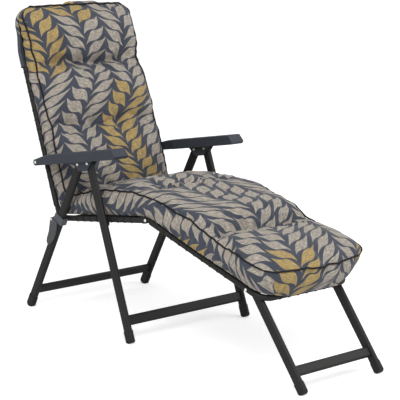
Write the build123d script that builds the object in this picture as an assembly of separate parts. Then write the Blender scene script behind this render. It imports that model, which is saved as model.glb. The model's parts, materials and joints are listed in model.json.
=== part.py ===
"""Reclining sun lounger: a folding steel frame, moulded arms and a tufted pad.

Lengths are millimetres and angles are degrees. Z is up, Y runs backwards and X runs
to the sitter's left. In the side view a point is given as (ahead, up): its distance
ahead of the rear feet and its height. Pieces are made on the sitter's right, where X
is negative, and mirrored. Angles in the side view turn from ahead towards up.
"""

import os
from math import atan2, cos, degrees, radians, sin, sqrt

from build123d import *

os.makedirs("parts", exist_ok=True)

# Distances of the members from the middle plane
leg_plane = 292.0
arm_plane = 290.0
frame_plane = 267.0
knee_plane = 262.0
footrest_end_plane = 213.7
footrest_leg_plane = 192.5
footrest_leg_gap = 16.0

# Side view of the frame
rear_leg_lean = 25.04
front_leg_lean = 22.87
front_foot_ahead = 603.0
footrest_leg_splay = 262.9
arm_pivot_height = 609.5
seat_pivot_height = 417.0
link_length = 222.4
collar_pivot_ahead = 138.0
collar_pivot_height = 374.0
seat_slope = 10.11
seat_length = 509.9
back_length = 811.0
footrest_slope = 18.0
footrest_length = 564.4
footrest_pivot_setback = 68.8

# Steel tube
leg_wide = 38.0
leg_thick = 18.0
tube_diameter = 22.0
rail_diameter = 18.0
wall = 1.5

# Rivets and running fits
rivet_diameter = 8.0
head_diameter = 12.0
head_height = 2.5
dome_share = 0.8
running_gap = 0.05
open_pivot_gap = 0.25
clearance = 0.3
overrun = 5.0

# Crossbars, as heights of their middles
rear_crossbar_height = 72.6
front_crossbar_height = 77.2
footrest_crossbar_height = 67.5

# Plastic ends
cap_length = 48.0
cap_wall = 2.0
sole_flat = 0.8
plug_length = 12.0
plug_seat = 7.0
spigot_length = 16.0

# Arms
arm_width = 64.0
arm_slope = 12.3
arm_reach = 474.0
arm_heel_radius = 12.4
arm_crest = 25.3
arm_taper = 110.0
arm_nose_lean = 20.0
arm_nose_kick = 9.0
arm_round = 5.0
arm_shell = 3.0
arm_neck_width = 41.0
arm_neck_length = 95.0
arm_flare = 40.0
arm_boss_radius = 8.0
arm_rib = 2.5
arm_rib_rise = 6.0
arm_rib_shares = (0.29, 0.38, 0.72, 0.85)
arm_taper_shares = (0.5, 0.74)
arm_rim_share = 0.66

# Cheeks below each arm, which hold the two legs
cheek_thick = 4.4
cheek_gap = 0.9
cheek_top_width = 112.0
cheek_foot_width = 48.0
cheek_drop = 34.0
cheek_round = 18.0

# Hinge eyes at the foot of the back and the rear of the seat
eye_radius = 10.5
seat_eye_thick = 7.0
back_eye_thick = 8.0
eye_reach = 48.0
eye_gap = 0.8
plug_depth = 20.0

# Knee hinge
knee_reach = 16.0
knee_cheek = 5.5
knee_eye_thick = 9.4
knee_web = 13.0

# Lug that carries the seat on the front leg
lug_width = 32.0
lug_thick = 4.0

# Collar that slides on the rear leg, with its bore room ahead and behind
collar_length = 30.0
collar_above_pivot = 7.5
collar_wall = 3.0
collar_side_room = 0.6
collar_front_room = 2.4
collar_rear_room = 3.6
collar_lug_radius = 8.0
collar_lug_thick = 12.0

# Lever that frees the collar
lever_thick = 6.4
lever_gap = 1.2
lever_eye_radius = 7.0
lever_length = 103.0
lever_width = 38.0
lever_cam_reach = 10.4
lever_cam_height = 7.0
lever_round = 2.5
lever_rib_width = 4.0
lever_rib_height = 1.2
lever_rib_pitch = 13.0
lever_rib_count = 6
lever_rib_angle = 45.0
lever_outline_shares = (
    (0.60, -0.03), (0.86, -0.09), (0.80, -0.30), (0.68, -0.51),
    (0.38, -0.75), (0.00, -0.93), (-0.24, -1.00), (-0.52, -0.97),
    (-0.66, -0.87), (-0.60, -0.74), (-0.33, -0.46), (-0.22, -0.17),
    (-0.19, 0.03), (0.00, 0.075), (0.20, 0.03),
)

# Slings of coated mesh, with a hem that loops tie to the side tubes
sling_lift = 5.5
sling_thick = 1.6
sling_inset = 33.0
hem_width = 8.0
hem_thick = 4.0
sling_corner = 30.0
sleeve_wall = 1.6
sleeve_inset = 42.0
loop_thick = 1.4
loop_width = 5.0
loop_eyelet = 7.0
loop_sides = 8
back_rail_reach = 78.0
seat_rear_rail_reach = 78.0
seat_front_rail_setback = 42.0
footrest_rail_reach = 46.0
back_loop_pitch = 66.0
seat_loop_pitch = 50.0
footrest_loop_pitch = 60.0
footrest_end_loop_pitch = 90.0
footrest_inset = 41.0
footrest_loop_room = 100.0
footrest_rail_share = 0.2

# Bends of the back tube
back_taper_start_share = 0.789
back_taper_end_share = 0.912
back_top_plane = 252.0
back_taper_radius = 250.0
back_corner_radius = 60.0
footrest_corner_radius = 51.5

# Pad
pad_lift = 13.4
pad_half_width = 259.0
pad_foot_share = 1.0
pad_side_bulge = 7.0
back_edge_height = 64.0
head_edge_height = 57.0
seat_edge_height = 100.0
knee_edge_height = 80.0
footrest_edge_height = 108.0
pad_crown = 22.0
pad_pinch = 3.0
pad_swell_steps = 4
head_half_width = 265.0
back_pad_overhang = 15.0
footrest_pad_overhang = 5.6
mitre_gap = 1.0
tuft_radius = 42.0
tuft_depth = 9.0
back_tuft_row_shares = (0.405, 0.715)
seat_tuft_row_shares = (0.42, 0.86)
footrest_tuft_row_share = 0.48
tuft_across_shares = (-0.72, -0.24, 0.24, 0.72)

# Hood of the pad over the top of the back
hood_reach = 232.0
hood_cloth = 1.5
hood_back_room = 1.5


footrest_pivot_reach = footrest_length - footrest_pivot_setback
seat_front_rail_reach = seat_length - seat_front_rail_setback
back_taper_start = back_length * back_taper_start_share
back_taper_end = back_length * back_taper_end_share
back_pad_reach = back_length + back_pad_overhang
footrest_pad_reach = footrest_length + footrest_pad_overhang


def polar(length, angle):
    """Side-view vector of a length at an angle from ahead towards up."""
    return Vector(length * cos(radians(angle)), length * sin(radians(angle)))


def space(point, across=0.0):
    """Side-view point set at a distance to the sitter's right of the middle."""
    return Vector(-across, -point.X, point.Y)


def side_plane(point, angle=0.0, across=0.0):
    """Plane whose x runs at the angle in the side view and whose normal is outward."""
    ahead = space(polar(1, angle))
    return Plane(origin=space(point, across), x_dir=ahead, z_dir=(-1, 0, 0))


def plate(sketch, point, angle, inner, outer):
    """Side-view sketch, about a point, made solid between two distances across."""
    return extrude(side_plane(point, angle, inner) * sketch, amount=outer - inner)


def disc(radius, point, inner, outer):
    return plate(Circle(radius), point, 0, inner, outer)


def solid_of(shape):
    """The single solid of a boolean result."""
    return shape.solids().sort_by(SortBy.VOLUME)[-1]


parts = {}


def mirrored(shape):
    return shape.mirror(Plane.YZ)


def pair(name, shape):
    """Keep a right-hand piece and its mirror image as two nodes."""
    parts[name + "_right"] = shape
    parts[name + "_left"] = mirrored(shape)


def group(name, shapes):
    """Keep right-hand pieces and their mirror images as one node of solids."""
    both = [item for shape in shapes for item in (shape, mirrored(shape))]
    parts[name] = Compound(children=both)


# Pivots, each at the place where the neighbouring tubes cross
rear_leg_angle = 90 - rear_leg_lean
front_leg_angle = 90 + front_leg_lean
rear_foot = Vector(0, 0)
front_foot = Vector(front_foot_ahead, 0)
rear_arm_pivot = polar(arm_pivot_height / sin(radians(rear_leg_angle)), rear_leg_angle)
seat_pivot = front_foot + polar(seat_pivot_height / sin(radians(front_leg_angle)), front_leg_angle)
front_arm_pivot = seat_pivot + polar(link_length, front_leg_angle)
collar_pivot = Vector(collar_pivot_ahead, collar_pivot_height)
back_pivot = collar_pivot + polar(link_length, front_leg_angle)
knee_pivot = collar_pivot + polar(seat_length, seat_slope)
footrest_leg_pivot = knee_pivot + polar(footrest_pivot_reach, -footrest_slope)
footrest_foot = Vector(footrest_leg_pivot.X + footrest_leg_splay, 0)
footrest_leg_vector = footrest_leg_pivot - footrest_foot
footrest_leg_angle = degrees(atan2(footrest_leg_vector.Y, footrest_leg_vector.X))

outer_leg_face = leg_plane + leg_thick / 2
inner_leg_face = leg_plane - leg_thick / 2
tube_radius = tube_diameter / 2
rivet_radius = rivet_diameter / 2


def rivet_head(point, face):
    """Domed head that stands outward on a face."""
    head = disc(head_diameter / 2, point, face, face + head_height)
    return chamfer(head.edges().sort_by(Axis.X)[0], head_height * dome_share)


def rivet(point, inner, outer):
    """Rivet across, with a domed head beyond each of two faces."""
    inside = disc(head_diameter / 2, point, inner - head_height, inner)
    inside = chamfer(inside.edges().sort_by(Axis.X)[-1], head_height * dome_share)
    return solid_of(disc(rivet_radius, point, inner, outer) + inside + rivet_head(point, outer))


def rivet_hole(point, inner, outer, gap=running_gap):
    return disc(rivet_radius + gap, point, inner - overrun, outer + overrun)


def oval_tube(foot, angle, start, end, across):
    """Flat-oval leg tube along a side-view line, between two distances from its foot."""
    origin = space(foot + polar(start, angle), across)
    section = Plane(origin=origin, x_dir=(1, 0, 0), z_dir=space(polar(1, angle)))
    outer = extrude(section * SlotOverall(leg_wide, leg_thick, 90), amount=end - start)
    bore = SlotOverall(leg_wide - 2 * wall, leg_thick - 2 * wall, 90)
    return outer - extrude(section * bore, amount=end - start)


def tube_start(angle):
    """Distance from the foot point to the seat of the tube in its cap."""
    return (leg_wide / 2 + cap_wall - sole_flat) / sin(radians(angle))


def foot_cap(foot, angle, across):
    """Foot cap: a slot sleeve with a round heel, cut flat where it stands."""
    radius = leg_wide / 2 + cap_wall
    heel = tube_start(angle)
    place = space(foot, across)
    section = Plane(origin=place, x_dir=(1, 0, 0), z_dir=space(polar(1, angle)))
    outer = SlotOverall(leg_wide + 2 * cap_wall, leg_thick + 2 * cap_wall, 90)
    sleeve = extrude(section * outer, amount=cap_length, both=True)
    side = Pos(heel, 0) * Circle(radius + clearance)
    side += Pos(heel + cap_length, 0) * Rectangle(2 * cap_length, 2 * radius + overrun)
    half = leg_thick / 2 + cap_wall + overrun
    body = sleeve & plate(side, foot, angle, across - half, across + half)
    socket_section = Plane(origin=space(foot + polar(heel, angle), across), x_dir=(1, 0, 0),
                           z_dir=space(polar(1, angle)))
    socket = SlotOverall(leg_wide, leg_thick, 90)
    body -= extrude(socket_section * socket, amount=2 * cap_length)
    floor = Pos(place.X, place.Y, -radius) * Box(4 * radius, 6 * radius, 2 * radius)
    return solid_of(body - floor)


def leg_plug(foot, angle, end, pivot, across):
    """Plug in the top of a leg, which the leg's rivet runs through."""
    place = space(foot + polar(end, angle), across)
    section = Plane(origin=place, x_dir=(1, 0, 0), z_dir=space(polar(1, angle)))
    cap = extrude(section * SlotOverall(leg_wide, leg_thick, 90), amount=plug_length)
    top = cap.faces().sort_by(Axis(place, section.z_dir))[-1]
    cap = chamfer(top.edges(), plug_length / 6)
    bore = SlotOverall(leg_wide - 2 * wall, leg_thick - 2 * wall, 90)
    cap += extrude(section * bore, amount=-spigot_length)
    half = leg_thick / 2
    return solid_of(cap - rivet_hole(pivot, across - half, across + half, open_pivot_gap))


def leg_eye(foot, angle, end, pivot, across):
    """Rounded eye that ends a footrest leg, with a spigot in the tube."""
    place = space(foot + polar(end, angle), across)
    section = Plane(origin=place, x_dir=(1, 0, 0), z_dir=space(polar(1, angle)))
    neck = make_hull((Circle(eye_radius) + Pos(-footrest_leg_gap, 0)
                      * Rectangle(clearance, leg_wide)).edges())
    half = leg_thick / 2
    body = plate(neck, pivot, angle, across - half, across + half)
    body &= extrude(section * Rectangle(2 * leg_wide, 2 * leg_wide), amount=leg_wide)
    bore = SlotOverall(leg_wide - 2 * wall, leg_thick - 2 * wall, 90)
    body += extrude(section * bore, amount=-spigot_length)
    return solid_of(body - rivet_hole(pivot, across - half, across + half))


def crossbar(foot, angle, height, across):
    """Bar between two legs, flat along them, ending on their inner faces."""
    middle = foot + polar(height / sin(radians(angle)), angle)
    reach = across - leg_thick / 2
    section = Plane(origin=space(middle, reach), x_dir=space(polar(1, angle)), z_dir=(1, 0, 0))
    outer = extrude(section * SlotOverall(leg_wide, leg_thick), amount=2 * reach)
    bore = SlotOverall(leg_wide - 2 * wall, leg_thick - 2 * wall)
    return outer - extrude(section * bore, amount=2 * reach)


def reach_to(foot, pivot):
    return (pivot - foot).length


# Rear legs
rear_top = reach_to(rear_foot, rear_arm_pivot) + plug_seat
rear_leg = oval_tube(rear_foot, rear_leg_angle, tube_start(rear_leg_angle), rear_top, leg_plane)
pair("rear_leg", rear_leg - rivet_hole(rear_arm_pivot, inner_leg_face, outer_leg_face))
pair("rear_foot_cap", foot_cap(rear_foot, rear_leg_angle, leg_plane))
group("rear_leg_plugs",
      [leg_plug(rear_foot, rear_leg_angle, rear_top, rear_arm_pivot, leg_plane)])
parts["rear_crossbar"] = crossbar(rear_foot, rear_leg_angle, rear_crossbar_height, leg_plane)

# Front legs
front_top = reach_to(front_foot, front_arm_pivot) + plug_seat
front_leg = oval_tube(front_foot, front_leg_angle, tube_start(front_leg_angle), front_top,
                      leg_plane)
front_leg -= rivet_hole(front_arm_pivot, inner_leg_face, outer_leg_face, open_pivot_gap)
front_leg -= rivet_hole(seat_pivot, inner_leg_face, outer_leg_face)
pair("front_leg", front_leg)
pair("front_foot_cap", foot_cap(front_foot, front_leg_angle, leg_plane))
parts["front_crossbar"] = crossbar(front_foot, front_leg_angle, front_crossbar_height, leg_plane)
group("front_leg_plugs",
      [leg_plug(front_foot, front_leg_angle, front_top, front_arm_pivot, leg_plane)])

# Footrest legs
footrest_top = reach_to(footrest_foot, footrest_leg_pivot) - footrest_leg_gap
footrest_leg = oval_tube(footrest_foot, footrest_leg_angle, tube_start(footrest_leg_angle),
                         footrest_top, footrest_leg_plane)
footrest_leg_outer = footrest_leg_plane + leg_thick / 2
footrest_leg_inner = footrest_leg_plane - leg_thick / 2
pair("footrest_leg", footrest_leg)
pair("footrest_foot_cap", foot_cap(footrest_foot, footrest_leg_angle, footrest_leg_plane))
parts["footrest_crossbar"] = crossbar(footrest_foot, footrest_leg_angle,
                                      footrest_crossbar_height, footrest_leg_plane)
pair("footrest_leg_eye", leg_eye(footrest_foot, footrest_leg_angle, footrest_top,
                                 footrest_leg_pivot, footrest_leg_plane))


def arm_side(inset, drop):
    """Side outline of the arm about the back pivot, drawn in by a wall thickness."""
    heel = arm_heel_radius - inset
    crest = arm_crest - inset
    reach = arm_reach - inset
    low = -arm_heel_radius - drop
    tip = reach - arm_nose_kick - inset
    middle = arm_taper * arm_taper_shares[0]
    rise = arm_heel_radius + (arm_crest - arm_heel_radius) * arm_taper_shares[1] - inset
    outline = [
        Line((0, low), (tip, low)),
        Line((tip, low), (reach, -arm_heel_radius + arm_nose_kick)),
        Line((reach, -arm_heel_radius + arm_nose_kick), (reach - arm_nose_lean, crest)),
        Line((reach - arm_nose_lean, crest), (arm_taper, crest)),
        ThreePointArc((arm_taper, crest), (middle, rise), (0, heel)),
        ThreePointArc((0, heel), (-heel, 0), (0, -heel)),
    ]
    if drop:
        outline.append(Line((0, -heel), (0, low)))
    return make_face(Curve() + outline)


def arm_plan(inset):
    """Plan outline of the right arm, narrow beside the back tube and then full width."""
    outer = -(arm_plane + arm_width / 2 - inset)
    inner = -(arm_plane - arm_width / 2 + inset)
    neck = outer + arm_neck_width - 2 * inset
    rear = -arm_heel_radius - overrun
    front = arm_reach - inset
    flare = arm_neck_length + arm_flare
    points = [(rear, outer), (front, outer), (front, inner), (flare, inner),
              (arm_neck_length, neck), (rear, neck)]
    face = make_face(Polyline(*points, close=True))
    bends = face.vertices().filter_by(
        lambda v: arm_neck_length - arm_flare < v.X < flare + arm_flare)
    return fillet(bends, arm_flare / 2)


arm_ahead = space(polar(1, arm_slope))
arm_up = space(polar(1, arm_slope + 90))
arm_plan_plane = Plane(origin=space(back_pivot), x_dir=arm_ahead, z_dir=arm_up)
arm_outer = arm_plane + arm_width / 2
arm_inner = arm_plane - arm_width / 2
arm_neck_inner = arm_outer - arm_neck_width


def arm_block(inset, drop):
    """Arm shape, or its cavity when it is drawn in and dropped through the underside."""
    side = plate(arm_side(inset, drop), back_pivot, arm_slope,
                 arm_inner - overrun, arm_outer + overrun)
    plan = extrude(arm_plan_plane * arm_plan(inset), amount=arm_crest * 2 + drop, both=True)
    return solid_of(side & plan)


def in_arm(point):
    """Place of a side-view point along and above the arm, from the back pivot."""
    step = point - back_pivot
    turn = radians(arm_slope)
    return Vector(step.X * cos(turn) + step.Y * sin(turn), step.Y * cos(turn) - step.X * sin(turn))


def arm():
    body = arm_block(0, 0)
    cavity = arm_block(arm_shell, overrun)
    cavity -= disc(arm_boss_radius, back_pivot, arm_inner, arm_outer)
    rims = body.edges().filter_by(
        lambda edge: (edge.center() - space(back_pivot)).dot(arm_up) > arm_rim_share * arm_crest)
    body = fillet(rims, arm_round)
    shell = body - cavity
    for share in arm_rib_shares:
        rib = Box(arm_rib, 2 * arm_width, 2 * arm_crest)
        place = Pos(share * arm_reach, -arm_plane, arm_rib_rise + arm_crest - arm_heel_radius)
        shell += (arm_plan_plane * place * rib) & cavity
    middle = (in_arm(rear_arm_pivot).X + in_arm(front_arm_pivot).X) / 2
    top = cheek_top_width / 2
    foot = cheek_foot_width / 2
    low = -arm_heel_radius - cheek_drop
    roof = arm_crest - arm_shell / 2
    points = [(-top, -arm_heel_radius), (-foot, low), (foot, low), (top, -arm_heel_radius),
              (top, roof), (-top, roof)]
    outline = make_face(Polyline(*points, close=True))
    outline = fillet(outline.vertices().sort_by(Axis.Y)[:2], cheek_round)
    outline = Pos(middle, 0) * outline
    near = outer_leg_face + cheek_gap
    far = inner_leg_face - cheek_gap
    shell += plate(outline, back_pivot, arm_slope, near, near + cheek_thick)
    shell += plate(outline, back_pivot, arm_slope, far - cheek_thick, far)
    for pivot in (rear_arm_pivot, front_arm_pivot):
        shell -= rivet_hole(pivot, far - cheek_thick, near + cheek_thick, 0)
    return solid_of(shell - rivet_hole(back_pivot, arm_neck_inner, arm_outer, 0))


pair("arm", arm())
cheek_outer = outer_leg_face + cheek_gap + cheek_thick
cheek_inner = inner_leg_face - cheek_gap - cheek_thick
group("rear_leg_rivets", [rivet(rear_arm_pivot, cheek_inner, cheek_outer)])
group("front_leg_rivets", [rivet(front_arm_pivot, cheek_inner, cheek_outer)])
washer = disc(head_diameter / 2, back_pivot, frame_plane + tube_radius + clearance, arm_neck_inner)
group("back_rivets", [solid_of(rivet(back_pivot, frame_plane - tube_radius, arm_outer) + washer)])


# Frames: a local plane for the back, the seat and the footrest, x across and y along,
# with the normal on the side of the pad
back_along = front_leg_angle
seat_along = seat_slope
footrest_along = -footrest_slope


def frame_plane_of(pivot, along, side):
    """Plane through a pivot with y along the frame; side turns its normal to the pad."""
    return Plane(origin=space(pivot), x_dir=(-side, 0, 0),
                 z_dir=space(polar(1, along + 90 * side)))


back_frame = frame_plane_of(collar_pivot, back_along, -1)
seat_frame = frame_plane_of(collar_pivot, seat_along, 1)
footrest_frame = frame_plane_of(knee_pivot, footrest_along, 1)


def tube_along(frame, points, radii, radius):
    """Round tube whose middle line is drawn on a frame plane, with bends."""
    line = FilletPolyline(*points, radius=radii) if radii else Line(*points)
    path = frame * line
    start = Plane(origin=path @ 0, z_dir=path % 0)
    return sweep(start * Circle(radius), path=path)


def hollow_tube(frame, points, radii, radius):
    outer = tube_along(frame, points, radii, radius)
    return outer - tube_along(frame, points, radii, radius - wall)


def rail(frame, reach, half, side_tubes):
    """Cross tube, coped to the side tubes that it is welded to."""
    points = ((-half, reach), (half, reach))
    bar = hollow_tube(frame, points, None, rail_diameter / 2)
    for tube in side_tubes:
        bar -= tube
    return solid_of(bar)


# Back frame
back_path = [
    (-frame_plane, eye_reach), (-frame_plane, back_taper_start),
    (-back_top_plane, back_taper_end), (-back_top_plane, back_length),
    (back_top_plane, back_length), (back_top_plane, back_taper_end),
    (frame_plane, back_taper_start), (frame_plane, eye_reach),
]
back_radii = [back_taper_radius, back_taper_radius, back_corner_radius,
              back_corner_radius, back_taper_radius, back_taper_radius]
back_solid = tube_along(back_frame, back_path, back_radii, tube_radius)
back_tube = back_solid - tube_along(back_frame, back_path, back_radii, tube_radius - wall)
back_tube -= rivet_hole(back_pivot, frame_plane - tube_radius, frame_plane + tube_radius)
back_tube -= mirrored(rivet_hole(back_pivot, frame_plane - tube_radius, frame_plane + tube_radius))
parts["back_tube"] = solid_of(back_tube)
parts["back_rail"] = rail(back_frame, back_rail_reach, frame_plane, [back_solid])


def on_right(frame, across, reach):
    """Point of a frame plane at a distance to the sitter's right."""
    return -across * frame.x_dir.X, reach


# Seat frame
seat_line = (on_right(seat_frame, frame_plane, eye_reach),
             on_right(seat_frame, frame_plane, seat_length - knee_reach))
seat_solid = tube_along(seat_frame, seat_line, None, tube_radius)
seat_bore = tube_along(seat_frame, seat_line, None, tube_radius - wall)
pair("seat_tube", seat_solid - seat_bore)
seat_solids = [seat_solid, mirrored(seat_solid)]
parts["seat_rear_rail"] = rail(seat_frame, seat_rear_rail_reach, frame_plane, seat_solids)
parts["seat_front_rail"] = rail(seat_frame, seat_front_rail_reach, frame_plane, seat_solids)

# Lug below each seat tube, riveted to the front leg
lug_inner = frame_plane + tube_radius - lug_thick / 2
lug_outer = inner_leg_face - running_gap * 10
lug_drop = (seat_pivot - collar_pivot).length * sin(
    radians(seat_slope) - atan2(seat_pivot.Y - collar_pivot.Y, seat_pivot.X - collar_pivot.X))
lug_shape = Pos(0, (lug_drop + tube_radius) / 2 - lug_width / 4) * Rectangle(
    lug_width, lug_drop + tube_radius + lug_width / 2)
lug_shape = fillet(lug_shape.vertices(), lug_width / 3)
lug = plate(lug_shape, seat_pivot, seat_slope, lug_inner, lug_outer)
lug += disc(rivet_radius, seat_pivot, lug_inner, outer_leg_face + clearance)
lug += rivet_head(seat_pivot, outer_leg_face + clearance)
pair("seat_lug", solid_of(lug - seat_solid))

# Hinge eyes on the collar pin
seat_eye_outer = frame_plane + tube_radius - eye_gap
seat_eye_inner = seat_eye_outer - seat_eye_thick
back_eye_outer = seat_eye_inner - eye_gap
back_eye_inner = back_eye_outer - back_eye_thick


def hinge_eye(pivot, along, inner, outer, reach, plane):
    """Eye on a pin with a neck to the end of a round tube and a plug inside it."""
    neck = Pos(reach / 2, 0) * Rectangle(reach, 2 * eye_radius) + Circle(eye_radius)
    eye = plate(neck, pivot, along, inner, outer)
    origin = space(pivot + polar(reach, along), plane)
    section = Plane(origin=origin, z_dir=space(polar(1, along)))
    eye += extrude(section * Circle(tube_radius - wall), amount=plug_depth)
    return solid_of(eye - rivet_hole(pivot, inner, outer))


pair("seat_eye", hinge_eye(collar_pivot, seat_along, seat_eye_inner, seat_eye_outer,
                           eye_reach, frame_plane))
pair("back_eye", hinge_eye(collar_pivot, back_along, back_eye_inner, back_eye_outer,
                           eye_reach, frame_plane))

# Footrest frame, a tapered bow
bow_start = (knee_plane, knee_reach)
bow_path = [(-bow_start[0], bow_start[1]), (-footrest_end_plane, footrest_length),
            (footrest_end_plane, footrest_length), bow_start]
bow_radii = [footrest_corner_radius, footrest_corner_radius]
bow_solid = tube_along(footrest_frame, bow_path, bow_radii, tube_radius)
bow = bow_solid - tube_along(footrest_frame, bow_path, bow_radii, tube_radius - wall)
bow_slope = (knee_plane - footrest_end_plane) / (footrest_length - knee_reach)
bow_turn = degrees(atan2(knee_plane - footrest_end_plane, footrest_length - knee_reach))
pivot_plane = knee_plane - bow_slope * (footrest_pivot_reach - knee_reach)
head_rise = bow_slope * head_diameter / 2 + clearance / 2
footrest_rivet_outer = pivot_plane + tube_radius + head_rise
footrest_hole = rivet_hole(footrest_leg_pivot, footrest_leg_inner, footrest_rivet_outer)
bow = bow - footrest_hole - mirrored(footrest_hole)
parts["footrest_tube"] = solid_of(bow)
parts["footrest_rail"] = rail(footrest_frame, footrest_rail_reach, knee_plane, [bow_solid])
footrest_washer = disc(head_diameter / 2, footrest_leg_pivot, footrest_leg_outer + clearance,
                       pivot_plane - tube_radius - head_rise)
footrest_rivet = rivet(footrest_leg_pivot, footrest_leg_inner, footrest_rivet_outer)
group("footrest_rivets", [solid_of(footrest_rivet + footrest_washer)])

# Knee hinge: a fork in the seat tube and an eye in the footrest tube
fork_outer = frame_plane + tube_radius
fork_inner = frame_plane - tube_radius
fork_side = Pos(-knee_reach / 2, 0) * Rectangle(knee_reach, tube_diameter) + Circle(tube_radius)
fork = plate(fork_side, knee_pivot, seat_along, fork_inner, fork_outer)
slot_inner = frame_plane - knee_eye_thick / 2 - clearance
slot_outer = frame_plane + knee_eye_thick / 2 + clearance
slot_length = knee_web + tube_diameter
slot_side = Pos(slot_length / 2 - knee_web, 0) * Rectangle(slot_length, 2 * tube_diameter)
fork -= plate(slot_side, knee_pivot, seat_along, slot_inner, slot_outer)
fork_end = Plane(origin=space(knee_pivot - polar(knee_reach, seat_along), frame_plane),
                 z_dir=space(polar(1, seat_along)))
fork += extrude(fork_end * Circle(tube_radius - wall), amount=-plug_depth)
pair("knee_fork", solid_of(fork - rivet_hole(knee_pivot, fork_inner, fork_outer, 0)))
group("knee_rivets", [rivet(knee_pivot, fork_inner, fork_outer)])
knee_neck = Pos(knee_reach / 2, 0) * Rectangle(knee_reach, 2 * eye_radius) + Circle(eye_radius)
knee_eye = plate(knee_neck, knee_pivot, footrest_along,
                 frame_plane - knee_eye_thick / 2, frame_plane + knee_eye_thick / 2)
bow_line = footrest_frame * Line(
    on_right(footrest_frame, *bow_start),
    on_right(footrest_frame, footrest_end_plane, footrest_length))
bow_end = Plane(origin=bow_line @ 0, z_dir=bow_line % 0)
knee_eye += extrude(bow_end * Circle(tube_radius - wall), amount=plug_depth)
pair("knee_eye", solid_of(knee_eye - rivet_hole(knee_pivot, fork_inner, fork_outer)))


# Collar: a band round the rear leg with a lug behind it, on the leg's own axes
collar_foot = rear_arm_pivot + polar((collar_pivot - rear_arm_pivot).dot(
    polar(1, rear_leg_angle)), rear_leg_angle)
collar_offset = (collar_pivot - collar_foot).length
collar_out = leg_plane + leg_thick / 2 + collar_side_room + collar_wall
collar_in = leg_plane - leg_thick / 2 - collar_side_room - collar_wall


def collar():
    low = collar_above_pivot
    front = leg_wide / 2 + collar_front_room
    rear = leg_wide / 2 + collar_rear_room
    middle = low + collar_length / 2
    deep = front + rear
    band = Pos(middle, (rear - front) / 2) * Rectangle(collar_length, deep + 2 * collar_wall)
    band = fillet(band.vertices(), collar_wall)
    lug = make_hull((Pos(0, collar_offset) * Circle(collar_lug_radius)
                     + Pos(middle, rear) * Rectangle(collar_length / 2, collar_wall)).edges())
    body = plate(band, collar_foot, rear_leg_angle, collar_in, collar_out)
    lug_inner_side = inner_leg_face + clearance
    body += plate(lug, collar_foot, rear_leg_angle, lug_inner_side,
                  lug_inner_side + collar_lug_thick)
    body += disc(collar_lug_radius, collar_pivot, seat_eye_outer + clearance, lug_inner_side)
    bore = Pos(middle, (rear - front) / 2) * Rectangle(collar_length + 2 * overrun, deep)
    body -= plate(bore, collar_foot, rear_leg_angle, collar_in + collar_wall,
                  collar_out - collar_wall)
    return solid_of(body - rivet_hole(collar_pivot, seat_eye_outer, collar_out, 0))


pair("collar", collar())

# Lever beside the leg, with an eye on the collar pin behind it
lever_inner = outer_leg_face + lever_gap
lever_outer = lever_inner + lever_thick
lug_outer_side = inner_leg_face + clearance + collar_lug_thick


def lever():
    outline = [(x * lever_width, y * lever_length) for x, y in lever_outline_shares]
    blade = make_face(Polyline(*outline, close=True))
    blade = fillet(blade.vertices(), lever_round)
    body = plate(blade, collar_pivot, 0, lever_inner, lever_outer)
    grip = fillet(body.faces().sort_by(Axis.X)[0].edges(), lever_thick / 5)
    cam = make_hull((Circle(lever_eye_radius) + Pos(lever_cam_reach - lever_cam_height / 2, 0)
                     * Circle(lever_cam_height / 2)).edges())
    grip += plate(cam, collar_pivot, rear_leg_angle - 90, lug_outer_side + clearance, lever_outer)
    rib_room = plate(offset(blade, -lever_rib_width), collar_pivot, 0, lever_inner,
                     lever_outer + lever_rib_height)
    for number in range(lever_rib_count):
        rib = Rectangle(2 * lever_width, lever_rib_width)
        place = Pos(0, -lever_length / 4 - number * lever_rib_pitch) * Rotation(0, 0, lever_rib_angle)
        stripe = plate(place * rib, collar_pivot, 0, lever_outer - lever_rib_height,
                       lever_outer + lever_rib_height)
        grip += stripe & rib_room
    return solid_of(grip - rivet_hole(collar_pivot, lug_outer_side, lever_outer))


pair("lever", lever())
group("collar_pins", [rivet(collar_pivot, back_eye_inner - clearance, lever_outer + clearance)])


# Slings, in the frame planes
def sling_body(outline, slots):
    """Mesh panel with a thick hem all round and a slot for each loop."""
    inside = offset(outline, -hem_width)
    panel = extrude(Pos(0, 0, sling_lift - sling_thick / 2) * outline, amount=sling_thick)
    hem = extrude(Pos(0, 0, sling_lift - hem_thick / 2) * (outline - inside), amount=hem_thick)
    body = panel + hem
    for slot in slots:
        body -= slot
    return body


def sleeve(reach, half, radius):
    """Sleeve of the sling round a rail, with the room of the rail inside it."""
    across = Plane(origin=(0, reach, 0), z_dir=(1, 0, 0))
    ring = across * Circle(radius + clearance + sleeve_wall)
    bore = across * Circle(radius + clearance)
    return extrude(ring, amount=half, both=True), extrude(bore, amount=2 * half, both=True)


def tie(place, reach):
    """Elastic loop round a tube and the hem beside it, and its slot in the panel."""
    hem_radius = sqrt(hem_width**2 + hem_thick**2) / 2 + clearance
    corner = tube_radius + 2 * clearance
    turn = 180 / loop_sides
    around = RegularPolygon(corner, loop_sides, major_radius=False, rotation=turn)
    around += Pos(reach, sling_lift) * RegularPolygon(hem_radius, loop_sides, major_radius=False,
                                                      rotation=turn)
    inner = make_hull(around.edges())
    outer = offset(inner, loop_thick, kind=Kind.INTERSECTION)
    ring = extrude(outer - inner, amount=loop_width / 2, both=True)
    slot = Box(loop_thick + 2 * clearance, 2 * hem_thick, loop_eyelet)
    return place * ring, place * Pos(reach + hem_radius + loop_thick / 2, sling_lift) * slot


def loop_and_slot(tube_x, hem_x, reach, turn):
    """Loop at a distance along a side tube, and its slot in the panel."""
    place = Plane(origin=(-tube_x, reach, 0), x_dir=(cos(radians(turn)), sin(radians(turn)), 0),
                  z_dir=(sin(radians(turn)), -cos(radians(turn)), 0))
    return tie(place, tube_x - hem_x)


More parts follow.
